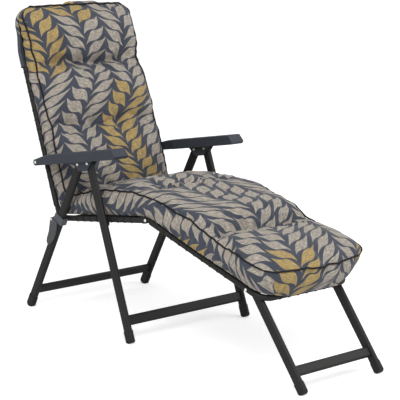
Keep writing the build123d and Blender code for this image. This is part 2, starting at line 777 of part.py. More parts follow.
def evenly(first, last, pitch):
    """Distances from first to last, spaced evenly at about the pitch."""
    count = max(2, round((last - first) / pitch) + 1)
    return [first + (last - first) * number / (count - 1) for number in range(count)]


def both_sides(item):
    return [item, item.mirror(Plane.YZ)]


# Back sling: outline inside the back tube, a sleeve on the rail and one on the top tube
hem_middle = sling_inset + hem_width / 2
back_sleeve_half = back_top_plane - back_corner_radius - sling_corner
back_last_loop = back_pad_reach - hood_reach - tube_diameter
back_outline = Polyline(
    (-frame_plane + sling_inset, back_rail_reach), (-frame_plane + sling_inset, back_taper_start),
    (-back_top_plane + sling_inset, back_taper_end),
    (-back_top_plane + sling_inset, back_length - back_corner_radius),
    (-back_sleeve_half, back_length), (back_sleeve_half, back_length),
    (back_top_plane - sling_inset, back_length - back_corner_radius),
    (back_top_plane - sling_inset, back_taper_end), (frame_plane - sling_inset, back_taper_start),
    (frame_plane - sling_inset, back_rail_reach), close=True)
back_loops = []
back_slots = []
for reach in evenly(back_rail_reach + 2 * tube_diameter, back_last_loop, back_loop_pitch):
    ring, slot = loop_and_slot(frame_plane, frame_plane - hem_middle, reach, 0)
    back_loops += both_sides(ring)
    back_slots += both_sides(slot)


def sling(frame, outline, slots, sleeves):
    body = sling_body(make_face(outline), slots)
    for ring, bore in sleeves:
        body += ring
    for ring, bore in sleeves:
        body -= bore
    return solid_of(frame * body)


rail_half = frame_plane - sleeve_inset
back_sleeves = [sleeve(back_rail_reach, rail_half, rail_diameter / 2),
                sleeve(back_length, back_sleeve_half, tube_radius)]
parts["back_sling"] = sling(back_frame, back_outline, back_slots, back_sleeves)
parts["back_loops"] = Compound(children=[back_frame * ring for ring in back_loops])

# Seat sling, between the two rails
seat_outline = Polyline(
    (-frame_plane + sling_inset, seat_rear_rail_reach),
    (-frame_plane + sling_inset, seat_front_rail_reach),
    (frame_plane - sling_inset, seat_front_rail_reach),
    (frame_plane - sling_inset, seat_rear_rail_reach), close=True)
seat_loops = []
seat_slots = []
for reach in evenly(seat_rear_rail_reach + 2 * tube_diameter,
                    seat_front_rail_reach - 2 * tube_diameter, seat_loop_pitch):
    ring, slot = loop_and_slot(frame_plane, frame_plane - hem_middle, reach, 0)
    seat_loops += both_sides(ring)
    seat_slots += both_sides(slot)
seat_sleeves = [sleeve(seat_rear_rail_reach, rail_half, rail_diameter / 2),
                sleeve(seat_front_rail_reach, rail_half, rail_diameter / 2)]
parts["seat_sling"] = sling(seat_frame, seat_outline, seat_slots, seat_sleeves)
parts["seat_loops"] = Compound(children=[seat_frame * ring for ring in seat_loops])

# Footrest sling, tapered with its tube and looped to the front of the bow as well
footrest_high = footrest_length - sling_inset
footrest_last_loop = footrest_pivot_reach - footrest_loop_room
footrest_hem = footrest_inset + hem_width / 2


def bow_half(reach):
    return knee_plane - bow_slope * (reach - knee_reach)


footrest_outline = Polyline(
    (-bow_half(footrest_rail_reach) + footrest_inset, footrest_rail_reach),
    (-bow_half(footrest_high) + footrest_inset, footrest_high - sling_corner),
    (-bow_half(footrest_high) + footrest_inset + sling_corner, footrest_high),
    (bow_half(footrest_high) - footrest_inset - sling_corner, footrest_high),
    (bow_half(footrest_high) - footrest_inset, footrest_high - sling_corner),
    (bow_half(footrest_rail_reach) - footrest_inset, footrest_rail_reach), close=True)
footrest_loops = []
footrest_slots = []
for reach in evenly(footrest_rail_reach + 2 * tube_diameter, footrest_last_loop,
                    footrest_loop_pitch):
    half = bow_half(reach)
    ring, slot = loop_and_slot(half, half - footrest_hem, reach, -bow_turn)
    footrest_loops += both_sides(ring)
    footrest_slots += both_sides(slot)
end_half = footrest_end_plane - footrest_corner_radius - sling_corner
for across in evenly(-end_half, end_half, footrest_end_loop_pitch):
    place = Plane(origin=(across, footrest_length, 0), x_dir=(0, -1, 0), z_dir=(-1, 0, 0))
    ring, slot = tie(place, hem_middle)
    footrest_loops.append(ring)
    footrest_slots.append(slot)
footrest_sleeves = [sleeve(footrest_rail_reach, rail_half - footrest_rail_share * sleeve_inset,
                           rail_diameter / 2)]
parts["footrest_sling"] = sling(footrest_frame, footrest_outline, footrest_slots, footrest_sleeves)
parts["footrest_loops"] = Compound(children=[footrest_frame * ring for ring in footrest_loops])


# Pad: one cushion for each frame, lofted through cross sections along it
def pad_section(frame, reach, half, edge, crown):
    """Cross section of the pad: flat below, bulging sides, a piped edge and a crown."""
    foot = half * pad_foot_share
    low = pad_lift
    middle = (low + edge) / 2
    bulge = half + pad_side_bulge
    outline = Curve() + [
        Line((-foot, low), (foot, low)),
        ThreePointArc((foot, low), (bulge, middle), (half, edge)),
        ThreePointArc((half, edge), (0, edge + crown), (-half, edge)),
        ThreePointArc((-half, edge), (-bulge, middle), (-foot, low)),
    ]
    across = Plane(origin=(0, reach, 0), x_dir=(1, 0, 0), z_dir=(0, -1, 0))
    return frame * (across * make_face(outline))


def eased(stations):
    """Stations with more between them, on a smooth swell from each to the next."""
    full = [stations[0]]
    for before, after in zip(stations, stations[1:]):
        for number in range(1, pad_swell_steps + 1):
            share = number / pad_swell_steps
            swell = share * share * (3 - 2 * share)
            reach = before[0] + (after[0] - before[0]) * share
            rest = [low + (high - low) * swell for low, high in zip(before[1:], after[1:])]
            full.append((reach, *rest))
    return full


def pad(frame, stations):
    sections = [pad_section(frame, *station) for station in eased(stations)]
    return solid_of(loft(sections, ruled=True))


def tufts(frame, reach, half, height):
    """Sewn dimples in a row across the pad."""
    return [frame * Pos(share * half, reach, height + tuft_radius - tuft_depth)
            * Sphere(tuft_radius) for share in tuft_across_shares]


def cut_beyond(shape, pivot, angle):
    """Keep what lies ahead of a plane through a pivot that rises at an angle."""
    edge = pivot + polar(mitre_gap / 2, angle - 90)
    return split(shape, bisect_by=Plane(origin=space(edge), z_dir=space(polar(1, angle - 90))),
                 keep=Keep.TOP)


def cut_before(shape, pivot, angle):
    edge = pivot - polar(mitre_gap / 2, angle - 90)
    return split(shape, bisect_by=Plane(origin=space(edge), z_dir=space(polar(1, angle - 90))),
                 keep=Keep.BOTTOM)


lap_angle = (back_along + seat_along) / 2
knee_angle = (seat_along + footrest_along) / 2 + 90
back_rows = [share * back_pad_reach for share in back_tuft_row_shares]
back_stations = [
    (0, pad_half_width, back_edge_height, pad_crown / 2),
    (back_rows[0] / 2, pad_half_width, back_edge_height, pad_crown),
    (back_rows[0], pad_half_width - pad_pinch, back_edge_height, pad_pinch),
    ((back_rows[0] + back_rows[1]) / 2, pad_half_width, back_edge_height, pad_crown),
    (back_rows[1], pad_half_width - 2 * pad_pinch, head_edge_height, pad_pinch),
    ((back_rows[1] + back_pad_reach) / 2, head_half_width, head_edge_height, pad_crown),
    (back_pad_reach - tube_diameter, head_half_width - pad_pinch, head_edge_height, pad_crown / 2),
    (back_pad_reach, head_half_width - tube_diameter, head_edge_height - pad_crown / 2, pad_pinch),
]
back_pad = pad(back_frame, back_stations)
for row, edge in zip(back_rows, (back_edge_height, head_edge_height)):
    for dimple in tufts(back_frame, row, pad_half_width, edge + pad_pinch):
        back_pad -= dimple
parts["back_cushion"] = solid_of(cut_before(back_pad, collar_pivot, lap_angle))

seat_rows = [seat_length * share for share in seat_tuft_row_shares]
seat_stations = [
    (0, pad_half_width, seat_edge_height - pad_crown, pad_crown / 2),
    (seat_rows[0] / 2, pad_half_width, seat_edge_height, pad_crown),
    (seat_rows[0], pad_half_width - pad_pinch, seat_edge_height, pad_pinch),
    ((seat_rows[0] + seat_rows[1]) / 2, pad_half_width, seat_edge_height, pad_crown),
    (seat_rows[1], pad_half_width - pad_pinch, knee_edge_height + pad_pinch, pad_pinch),
    (seat_length + tube_diameter, pad_half_width, knee_edge_height, pad_crown / 2),
]
seat_pad = pad(seat_frame, seat_stations)
for row, edge in zip(seat_rows, (seat_edge_height, knee_edge_height)):
    for dimple in tufts(seat_frame, row, pad_half_width, edge + pad_pinch):
        seat_pad -= dimple
seat_pad = cut_beyond(seat_pad, collar_pivot, lap_angle)
parts["seat_cushion"] = solid_of(cut_before(seat_pad, knee_pivot, knee_angle))

footrest_row = footrest_pad_reach * footrest_tuft_row_share
footrest_stations = [
    (-tube_diameter, pad_half_width, knee_edge_height, pad_crown / 2),
    (footrest_row / 2, pad_half_width, (knee_edge_height + footrest_edge_height) / 2, pad_crown),
    (footrest_row, pad_half_width - pad_pinch, footrest_edge_height - pad_pinch, pad_pinch),
    ((footrest_row + footrest_pad_reach) / 2, pad_half_width, footrest_edge_height, pad_crown),
    (footrest_pad_reach - tube_diameter, pad_half_width - pad_pinch, footrest_edge_height,
     pad_crown / 2),
    (footrest_pad_reach, pad_half_width - tube_diameter, footrest_edge_height - pad_pinch,
     pad_pinch),
]
footrest_pad = pad(footrest_frame, footrest_stations)
for dimple in tufts(footrest_frame, footrest_row, pad_half_width, footrest_edge_height):
    footrest_pad -= dimple
parts["footrest_cushion"] = solid_of(cut_beyond(footrest_pad, knee_pivot, knee_angle))


# Hood of the pad, a pocket over the top of the back tube that is open below
def hood():
    start = back_pad_reach - hood_reach
    path = [(-frame_plane, start)] + back_path[1:-1] + [(frame_plane, start)]
    line = FilletPolyline(*path, radius=back_radii)
    core = make_face(line + Line(line @ 1, line @ 0))
    gap = tube_radius + sleeve_wall + 2 * clearance
    inside = offset(core, gap)
    room = Pos(0, start + back_length) * Rectangle(2 * arm_plane, 2 * back_length)
    outside = offset(core, gap + hood_cloth) & room
    low = -gap - hood_cloth - hood_back_room
    body = extrude(Pos(0, 0, low) * outside, amount=pad_lift - clearance - low)
    pocket = extrude(Pos(0, 0, low + hood_cloth) * inside, amount=tube_diameter * 2)
    return back_frame * solid_of(body - pocket)


parts["head_hood"] = hood()

# The frame's origin: the middle of the whole outline at the floor
everything = Compound(children=[Compound(children=list(shape.solids())) for shape in parts.values()])
box = everything.bounding_box()
shift = Vector(-(box.min.X + box.max.X) / 2, -(box.min.Y + box.max.Y) / 2, -box.min.Z)

for name, shape in parts.items():
    export_step(Pos(*shift) * shape, f"parts/{name}.step")


def show(label, point):
    place = space(point) + shift
    print(f"{label:22s} x {place.X:8.3f}  y {place.Y:8.3f}  z {place.Z:8.3f}")


for label, point in (("rear arm pivot", rear_arm_pivot), ("front arm pivot", front_arm_pivot),
                     ("seat pivot", seat_pivot), ("collar pivot", collar_pivot),
                     ("back pivot", back_pivot), ("knee pivot", knee_pivot),
                     ("footrest leg pivot", footrest_leg_pivot), ("rear foot", rear_foot)):
    show(label, point)
print("size", box.size, "nodes", len(parts), "footrest leg angle", round(footrest_leg_angle, 2))
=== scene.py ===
import math

import bmesh
import bpy
from mathutils import Matrix, Vector, noise
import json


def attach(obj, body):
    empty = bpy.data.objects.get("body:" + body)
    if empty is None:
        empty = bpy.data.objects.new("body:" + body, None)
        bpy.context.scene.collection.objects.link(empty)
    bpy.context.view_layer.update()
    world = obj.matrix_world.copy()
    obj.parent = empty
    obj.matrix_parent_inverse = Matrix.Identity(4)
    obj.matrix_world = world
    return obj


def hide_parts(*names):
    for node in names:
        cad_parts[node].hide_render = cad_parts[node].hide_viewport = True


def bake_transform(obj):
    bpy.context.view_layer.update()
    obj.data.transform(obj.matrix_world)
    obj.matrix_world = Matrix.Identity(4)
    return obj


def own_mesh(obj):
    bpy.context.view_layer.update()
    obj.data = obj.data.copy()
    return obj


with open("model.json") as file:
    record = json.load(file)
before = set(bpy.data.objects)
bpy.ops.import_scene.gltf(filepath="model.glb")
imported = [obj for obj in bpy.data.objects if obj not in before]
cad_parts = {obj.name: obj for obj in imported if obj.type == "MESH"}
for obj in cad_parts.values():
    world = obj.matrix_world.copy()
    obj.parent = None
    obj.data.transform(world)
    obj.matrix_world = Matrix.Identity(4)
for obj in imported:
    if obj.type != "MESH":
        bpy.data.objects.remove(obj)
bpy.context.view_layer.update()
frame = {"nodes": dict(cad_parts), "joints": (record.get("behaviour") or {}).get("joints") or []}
bpy.ops.object.select_all(action="DESELECT")

# Studio. A pale floor that runs out of sight, an even white surround and two large soft
# lamps. The camera stands ahead of the lounger on the sitter's right, a little above it.
arm_pivot_ahead = 0.28471
hinge_place = {joint["name"]: Vector(joint.get("pos_m", (0, 0, 0))) for joint in frame["joints"]}
rear_foot_y = hinge_place["frame_fold"].y + arm_pivot_ahead

bpy.ops.mesh.primitive_plane_add(size=60, location=(0, 0, -0.0005))
floor = bpy.context.object
floor.name = "floor"
floor_finish = bpy.data.materials.new("pale_floor")
floor_finish.use_nodes = True
floor_nodes = floor_finish.node_tree.nodes
floor_links = floor_finish.node_tree.links
floor_shader = floor_nodes["Principled BSDF"]
floor_shader.inputs["Base Color"].default_value = (0.9, 0.9, 0.9, 1)
floor_shader.inputs["Roughness"].default_value = 0.9
floor_shader.inputs["Specular IOR Level"].default_value = 0.1
seen = floor_nodes.new("ShaderNodeLightPath")
lift = floor_nodes.new("ShaderNodeMath")
lift.operation = "MULTIPLY"
lift.inputs[1].default_value = 0.5
floor_links.new(seen.outputs["Is Camera Ray"], lift.inputs[0])
floor_shader.inputs["Emission Color"].default_value = (1, 1, 1, 1)
floor_links.new(lift.outputs[0], floor_shader.inputs["Emission Strength"])
floor.data.materials.append(floor_finish)

world = bpy.data.worlds.new("white_surround")
bpy.context.scene.world = world
world.use_nodes = True
sky_nodes, sky_links = world.node_tree.nodes, world.node_tree.links
surround = sky_nodes["Background"]
surround.inputs["Color"].default_value = (1, 1, 1, 1)
looked_at = sky_nodes.new("ShaderNodeLightPath")
shown = looked_at.outputs["Is Camera Ray"]
for ray in ("Is Glossy Ray", "Is Transmission Ray"):
    either = sky_nodes.new("ShaderNodeMath")
    either.operation = "MAXIMUM"
    sky_links.new(shown, either.inputs[0])
    sky_links.new(looked_at.outputs[ray], either.inputs[1])
    shown = either.outputs[0]
level = sky_nodes.new("ShaderNodeMapRange")
level.inputs["To Min"].default_value = 0.62
level.inputs["To Max"].default_value = 1.0
sky_links.new(shown, level.inputs["Value"])
sky_links.new(level.outputs["Result"], surround.inputs["Strength"])

for lamp_name, place, size, power in (
    ("key_lamp", (-2.6, -2.4, 3.6), 2.6, 105),
    ("fill_lamp", (3.2, -2.2, 2.6), 3.0, 45),
):
    bpy.ops.object.light_add(type="AREA", location=place)
    lamp = bpy.context.object
    lamp.name = lamp_name
    lamp.data.size = size
    lamp.data.energy = power
    aim = Vector((0, 0.1, 0.5)) - Vector(place)
    lamp.rotation_euler = aim.to_track_quat("-Z", "Y").to_euler()

azimuth, tip, roll = math.radians(-43.463), math.radians(12.357), math.radians(2.414)
back = Vector((math.sin(azimuth) * math.cos(tip), -math.cos(azimuth) * math.cos(tip),
               math.sin(tip)))
right = Vector((math.cos(azimuth), math.sin(azimuth), 0))
up = back.cross(right)
camera_right = math.cos(roll) * right + math.sin(roll) * up
camera_up = math.cos(roll) * up - math.sin(roll) * right
camera_data = bpy.data.cameras.new("camera")
camera_data.sensor_width = 36
camera_data.lens = 141.571
camera = bpy.data.objects.new("camera", camera_data)
bpy.context.collection.objects.link(camera)
turn = Matrix((camera_right, camera_up, back)).transposed().to_4x4()
stand = Vector((-3.8803, rear_foot_y - 4.7203, 1.7389))
camera.matrix_world = Matrix.Translation(stand) @ turn
bpy.context.scene.camera = camera
bpy.context.scene.view_settings.view_transform = "Standard"


# Steel tubes. Legs of flat-oval tube and round side tubes, bent, welded and powder coated
# in a near-black satin. The coat has a faint orange-peel and rubs a little paler in places.
def new_finish(name, colour, roughness, specular=0.5, metallic=0.0):
    finish = bpy.data.materials.new(name)
    finish.use_nodes = True
    shader = finish.node_tree.nodes["Principled BSDF"]
    shader.inputs["Base Color"].default_value = (*colour, 1)
    shader.inputs["Roughness"].default_value = roughness
    shader.inputs["Specular IOR Level"].default_value = specular
    shader.inputs["Metallic"].default_value = metallic
    return finish


def grain(finish, scale, depth, colours, roughs, detail=3):
    """Mottle a finish's colour and roughness and raise a fine bump, all from one noise."""
    nodes, links = finish.node_tree.nodes, finish.node_tree.links
    shader = nodes["Principled BSDF"]
    place = nodes.new("ShaderNodeTexCoord")
    speckle = nodes.new("ShaderNodeTexNoise")
    speckle.inputs["Scale"].default_value = scale
    speckle.inputs["Detail"].default_value = detail
    links.new(place.outputs["Object"], speckle.inputs["Vector"])
    cloud = nodes.new("ShaderNodeTexNoise")
    cloud.inputs["Scale"].default_value = 9
    cloud.inputs["Detail"].default_value = 4
    links.new(place.outputs["Object"], cloud.inputs["Vector"])
    tint = nodes.new("ShaderNodeMix")
    tint.data_type = "RGBA"
    tint.inputs["A"].default_value = (*colours[0], 1)
    tint.inputs["B"].default_value = (*colours[1], 1)
    links.new(cloud.outputs["Fac"], tint.inputs["Factor"])
    links.new(tint.outputs["Result"], shader.inputs["Base Color"])
    shine = nodes.new("ShaderNodeMapRange")
    shine.inputs["To Min"].default_value = roughs[0]
    shine.inputs["To Max"].default_value = roughs[1]
    links.new(speckle.outputs["Fac"], shine.inputs["Value"])
    links.new(shine.outputs["Result"], shader.inputs["Roughness"])
    bump = nodes.new("ShaderNodeBump")
    bump.inputs["Strength"].default_value = 0.35
    bump.inputs["Distance"].default_value = depth
    links.new(speckle.outputs["Fac"], bump.inputs["Height"])
    links.new(bump.outputs["Normal"], shader.inputs["Normal"])
    return finish


def dress(finish, *names):
    """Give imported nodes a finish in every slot."""
    for name in names:
        node = frame["nodes"][name]
        node.data.materials.clear()
        node.data.materials.append(finish)


powder_coat = grain(new_finish("powder_coat", (0.012, 0.012, 0.012), 0.5, specular=0.28),
                    900, 0.0004, ((0.009, 0.009, 0.009), (0.016, 0.016, 0.015)), (0.44, 0.6))
dress(powder_coat, "rear_leg_right", "rear_leg_left", "front_leg_right", "front_leg_left",
      "footrest_leg_right", "footrest_leg_left", "rear_crossbar", "front_crossbar",
      "footrest_crossbar", "back_tube", "back_rail", "seat_tube_right", "seat_tube_left",
      "seat_rear_rail", "seat_front_rail", "seat_lug_right", "seat_lug_left",
      "footrest_tube", "footrest_rail")

# Plastic ends. Black injection-moulded foot caps, leg plugs, hinge eyes and knee forks,
# pushed into or over the tubes.
black_moulding = grain(new_finish("black_moulding", (0.01, 0.01, 0.01), 0.5, specular=0.3),
                       1400, 0.0002, ((0.007, 0.007, 0.007), (0.013, 0.013, 0.013)), (0.46, 0.64))
dress(black_moulding, "rear_foot_cap_right", "rear_foot_cap_left", "front_foot_cap_right",
      "front_foot_cap_left", "footrest_foot_cap_right", "footrest_foot_cap_left",
      "rear_leg_plugs", "front_leg_plugs", "footrest_leg_eye_right", "footrest_leg_eye_left",
      "seat_eye_right", "seat_eye_left", "back_eye_right", "back_eye_left",
      "knee_fork_right", "knee_fork_left", "knee_eye_right", "knee_eye_left")

# Arms. One moulding each, hollow below, in a dark slate plastic with a fine spark-eroded
# grain that turns the light on top softly.
arm_moulding = grain(new_finish("arm_moulding", (0.034, 0.039, 0.052), 0.5, specular=0.32),
                     1100, 0.0005, ((0.029, 0.035, 0.047), (0.039, 0.046, 0.06)), (0.46, 0.62))
dress(arm_moulding, "arm_right", "arm_left")

# Collars and levers. Moulded bands that slide on the rear legs, and the grey levers
# pinned to them that free them to slide.
collar_moulding = grain(new_finish("collar_moulding", (0.07, 0.08, 0.1), 0.5), 1100, 0.0004,
                        ((0.062, 0.071, 0.09), (0.082, 0.092, 0.112)), (0.42, 0.58))
dress(collar_moulding, "collar_right", "collar_left")
lever_moulding = grain(new_finish("lever_moulding", (0.075, 0.079, 0.085), 0.5), 1100, 0.0004,
                       ((0.068, 0.072, 0.078), (0.09, 0.094, 0.1)), (0.44, 0.62))
dress(lever_moulding, "lever_right", "lever_left")

# Rivets. Plated steel with domed heads, bright where they show on the dark legs.
rivet_plate = grain(new_finish("rivet_plate", (0.8, 0.8, 0.78), 0.3, metallic=0.9), 700, 0.0001,
                    ((0.72, 0.72, 0.7), (0.86, 0.86, 0.84)), (0.24, 0.4))
dress(rivet_plate, "rear_leg_rivets", "front_leg_rivets", "back_rivets", "collar_pins",
      "knee_rivets", "footrest_rivets")


# Slings. Panels of black coated mesh, one in each frame, with sleeves round the rails and a
# rolled hem down each side. They are stretched flat and a little scalloped by the lacing.
def eased(points, place):
    """Smooth value at a place from a table of (place, value) pairs."""
    if place <= points[0][0]:
        return points[0][1]
    for (start, low), (end, high) in zip(points, points[1:]):
        if place <= end:
            share = (place - start) / (end - start)
            share = share * share * (3 - 2 * share)
            return low + (high - low) * share
    return points[-1][1]


def side_place(x, ahead, height):
    """Point in the row's frame from metres ahead of the rear feet and above the floor."""
    return Vector((x, rear_foot_y - ahead, height))


lap = (0.138, 0.374)
knee = (0.640, 0.4635)
back_slope = math.radians(112.87)
seat_slope = math.radians(10.11)
footrest_slope = math.radians(-18.0)
seat_length = 0.5099
footrest_length = 0.5644


def on_frame(origin, slope):
    """Maker of points from x, distance along a straight frame and height above its tubes."""
    def place(x, along, height):
        return side_place(x, origin[0] + along * math.cos(slope) - height * math.sin(slope),
                          origin[1] + along * math.sin(slope) + height * math.cos(slope))
    return place


back_lean = back_slope - math.pi / 2


def on_back(x, along, height):
    return side_place(x, lap[0] + along * math.cos(back_slope) + height * math.cos(back_lean),
                      lap[1] + along * math.sin(back_slope) + height * math.sin(back_lean))


on_seat_frame = on_frame(lap, seat_slope)
on_footrest_frame = on_frame(knee, footrest_slope)

sling_mesh = new_finish("sling_mesh", (0.02, 0.02, 0.022), 0.6, specular=0.3)
tree = sling_mesh.node_tree
mesh_map = tree.nodes.new("ShaderNodeUVMap")
mesh_map.uv_map = "cloth"
threads = []
for direction in ("X", "Y"):
    thread = tree.nodes.new("ShaderNodeTexWave")
    thread.bands_direction = direction
    thread.inputs["Scale"].default_value = 170
    thread.inputs["Distortion"].default_value = 0.6
    tree.links.new(mesh_map.outputs["UV"], thread.inputs["Vector"])
    threads.append(thread.outputs["Fac"])
crossing = tree.nodes.new("ShaderNodeMath")
crossing.operation = "MAXIMUM"
tree.links.new(threads[0], crossing.inputs[0])
tree.links.new(threads[1], crossing.inputs[1])
shade = tree.nodes.new("ShaderNodeMix")
shade.data_type = "RGBA"
shade.inputs["A"].default_value = (0.006, 0.006, 0.007, 1)
shade.inputs["B"].default_value = (0.034, 0.034, 0.038, 1)
tree.links.new(crossing.outputs[0], shade.inputs["Factor"])
tree.links.new(shade.outputs["Result"], tree.nodes["Principled BSDF"].inputs["Base Color"])
knit = tree.nodes.new("ShaderNodeBump")
knit.inputs["Strength"].default_value = 0.5
knit.inputs["Distance"].default_value = 0.0008
tree.links.new(crossing.outputs[0], knit.inputs["Height"])
tree.links.new(knit.outputs["Normal"], tree.nodes["Principled BSDF"].inputs["Normal"])

sling_height = 0.0055
sling_sag = 0.003
hem_inset = 0.0045
sling_hem_radius = 0.0024
sleeve_run = 0.022
panel_step = 0.0125
scallop_reach = 0.03
scallop_depth = 0.0025
cloth_wall = 0.0014
side_inset = 0.033
bow_inset = 0.041


def sling_profile(first, first_radius, last, last_radius):
    """Side-view line of a panel: out of one sleeve, along, and into the next."""
    line = []
    for number in range(9):
        angle = math.radians(-150 + 30 * number)
        line.append((first - first_radius * math.sin(angle), -first_radius * math.cos(angle)))
    run = first + sleeve_run
    while run < (last if last_radius else last + 0.001) - (sleeve_run if last_radius else 0):
        line.append((run, sling_height))
        run += panel_step
    if not last_radius:
        return line + [(last, sling_height)]
    for number in range(9):
        angle = math.radians(-90 - 30 + 30 * number)
        line.append((last + last_radius * math.sin(angle), last_radius * math.cos(angle)))
    return line


def scalloped(half_at, loops, run):
    """Half width of a sling, which is drawn in a little between its loops."""
    nearest = min(abs(run - loop) for loop in loops)
    return half_at(run) - min(nearest, scallop_reach) / scallop_reach * scallop_depth


def pick(piece):
    """Leave this piece alone selected, and active."""
    bpy.ops.object.select_all(action="DESELECT")
    piece.select_set(True)
    bpy.context.view_layer.objects.active = piece


def smooth_faces(mesh):
    for polygon in mesh.polygons:
        polygon.use_smooth = True


def mesh_of(curve, finish):
    """Piece made from a curve, as a mesh with one finish."""
    piece = bpy.data.objects.new(curve.name, curve)
    bpy.context.collection.objects.link(piece)
    pick(piece)
    bpy.ops.object.convert(target="MESH")
    piece = bpy.context.object
    piece.data.materials.clear()
    piece.data.materials.append(finish)
    return piece


def stretch_sling(name, line, half_at, loops, place, body):
    """Panel over a side-view line, its sides scalloped between the loops, and its hems."""
    columns = 40
    base = bmesh.new()
    map_layer = base.loops.layers.uv.new("cloth")
    rows, lengths = [], [0.0]
    for number, (run, height) in enumerate(line):
        if number:
            lengths.append(lengths[-1] + math.hypot(run - line[number - 1][0],
                                                    height - line[number - 1][1]))
        half = scalloped(half_at, loops, run)
        row = []
        for column in range(columns + 1):
            x = half * (-1 + 2 * column / columns)
            sag = sling_sag * (1 - (x / half) ** 2) if height == sling_height else 0.0
            row.append(base.verts.new(place(x, run, height - sag)))
        rows.append(row)
    for number in range(len(rows) - 1):
        for column in range(columns):
            face = base.faces.new((rows[number][column], rows[number][column + 1],
                                   rows[number + 1][column + 1], rows[number + 1][column]))
            spots = ((number, column), (number, column + 1), (number + 1, column + 1),
                     (number + 1, column))
            for loop, (row_number, spot) in zip(face.loops, spots):
                loop[map_layer].uv = (half_at(0.3) * 2 * spot / columns, lengths[row_number])
    bmesh.ops.recalc_face_normals(base, faces=base.faces)
    area = sum(face.calc_area() for face in base.faces)
    mesh = bpy.data.meshes.new(name)
    base.to_mesh(mesh)
    base.free()
    panel = bpy.data.objects.new(name, mesh)
    bpy.context.collection.objects.link(panel)
    mesh.materials.append(sling_mesh)
    bpy.context.view_layer.objects.active = panel
    wall = panel.modifiers.new("Solidify", "SOLIDIFY")
    wall.thickness = cloth_wall
    wall.offset = 0
    bpy.ops.object.modifier_apply(modifier="Solidify")
    smooth_faces(mesh)
    hem_line = bpy.data.curves.new(name + "_hem", "CURVE")
    hem_line.dimensions = "3D"
    hem_line.bevel_depth = sling_hem_radius
    hem_line.bevel_resolution = 2
    flat_runs = [run for run, height in line if height == sling_height]
    for sign in (-1, 1):
        spline = hem_line.splines.new("POLY")
        spline.points.add(len(flat_runs) - 1)
        for point, run in zip(spline.points, flat_runs):
            half = scalloped(half_at, loops, run)
            point.co = (*place(sign * (half - hem_inset), run, sling_height), 1)
    hem = mesh_of(hem_line, hem_tape)
    for piece in (panel, hem):
        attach(piece, body)
    return panel


hem_tape = grain(new_finish("hem_tape", (0.014, 0.014, 0.015), 0.7, specular=0.2), 1500, 0.0003,
                 ((0.01, 0.01, 0.011), (0.02, 0.02, 0.022)), (0.6, 0.85))


def evenly(first, last, count):
    return [first + (last - first) * number / (count - 1) for number in range(count)]


def back_plane(along):
    return eased(((0.64, 0.267), (0.74, 0.252)), along)


def bow_plane(along):
    return 0.262 - 0.088 * (along - 0.016)


back_loop_runs = evenly(0.122, 0.572, 13)
seat_loop_runs = evenly(0.118, 0.428, 9)
footrest_loop_runs = evenly(0.09, 0.396, 9)
back_sling = stretch_sling(
    "back_sling_panel", sling_profile(0.078, 0.0101, 0.811, 0.0121),
    lambda along: min(back_plane(along) - side_inset, 0.162 + max(0.0, 0.811 - along) * 0.95),
    back_loop_runs, on_back, "back")
seat_sling = stretch_sling(
    "seat_sling_panel", sling_profile(0.078, 0.0101, 0.4679, 0.0101), lambda along: 0.234,
    seat_loop_runs, on_seat_frame, "seat")
footrest_sling = stretch_sling(
    "footrest_sling_panel", sling_profile(0.046, 0.0101, 0.5314, 0.0),
    lambda along: min(bow_plane(along) - bow_inset, 0.149 + max(0.0, 0.5314 - along) * 0.95),
    footrest_loop_runs, on_footrest_frame, "footrest")
for panel, node in ((back_sling, "back_sling"), (seat_sling, "seat_sling"),
                    (footrest_sling, "footrest_sling")):
    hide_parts(node)

# Lacing. Loops of flat black elastic, each round a side tube and the hem beside it, close
# together up both sides of every sling and across the front of the footrest.
elastic = grain(new_finish("elastic", (0.016, 0.016, 0.017), 0.75, specular=0.2), 2200, 0.0003,
                ((0.011, 0.011, 0.012), (0.024, 0.024, 0.026)), (0.65, 0.85))
loop_radius = 0.0121
loop_squeeze = 0.36
side_reach = 0.0345
bow_reach = 0.0425
side_plane = 0.267
bpy.ops.object.select_all(action="DESELECT")
bpy.ops.mesh.primitive_torus_add(major_radius=loop_radius, minor_radius=0.0009, major_segments=14,
                                 minor_segments=6)
loop_pattern = bpy.context.object
loop_pattern.name = "loop_pattern"
bpy.ops.object.mode_set(mode="EDIT")
bpy.ops.mesh.select_all(action="SELECT")
bpy.ops.transform.resize(value=(1, 1, 1.7))
bpy.ops.object.mode_set(mode="OBJECT")
loop_shape = loop_pattern.data


def lace(name, spots, body, node):
    """Copies of the loop pattern at (origin, inward, along, reach), as one piece."""
    copies = []
    for origin, inward, along, reach in spots:
        mesh = loop_shape.copy()
        upward = inward.cross(along)
        for vert in mesh.vertices:
            x, y, z = vert.co
            if x > 0:
                x = x * loop_squeeze + reach
                y = y * loop_squeeze + sling_height
            vert.co = origin + inward * x + upward * y + along * z
        copy = bpy.data.objects.new(name, mesh)
        bpy.context.collection.objects.link(copy)
        copies.append(copy)
    bpy.ops.object.select_all(action="DESELECT")
    for copy in copies:
        copy.select_set(True)
    bpy.context.view_layer.objects.active = copies[0]
    bpy.ops.object.join()
    laced = bpy.context.object
    laced.name = name
    laced.data.materials.clear()
    laced.data.materials.append(elastic)
    bpy.ops.object.mode_set(mode="EDIT")
    bpy.ops.mesh.select_all(action="SELECT")
    bpy.ops.mesh.normals_make_consistent(inside=False)
    bpy.ops.object.mode_set(mode="OBJECT")
    smooth_faces(laced.data)
    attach(laced, body)
    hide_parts(node)
    return laced


def side_loops(place, runs, plane_at, inset):
    """Places of the loops down both sides of a sling."""
    spots = []
    for run in runs:
        for sign in (-1, 1):
            origin = place(sign * plane_at(run), run, 0)
            along = (place(sign * plane_at(run + 0.01), run + 0.01, 0) - origin).normalized()
            spots.append((origin, Vector((-sign, 0, 0)), along if sign > 0 else -along, inset))
    return spots


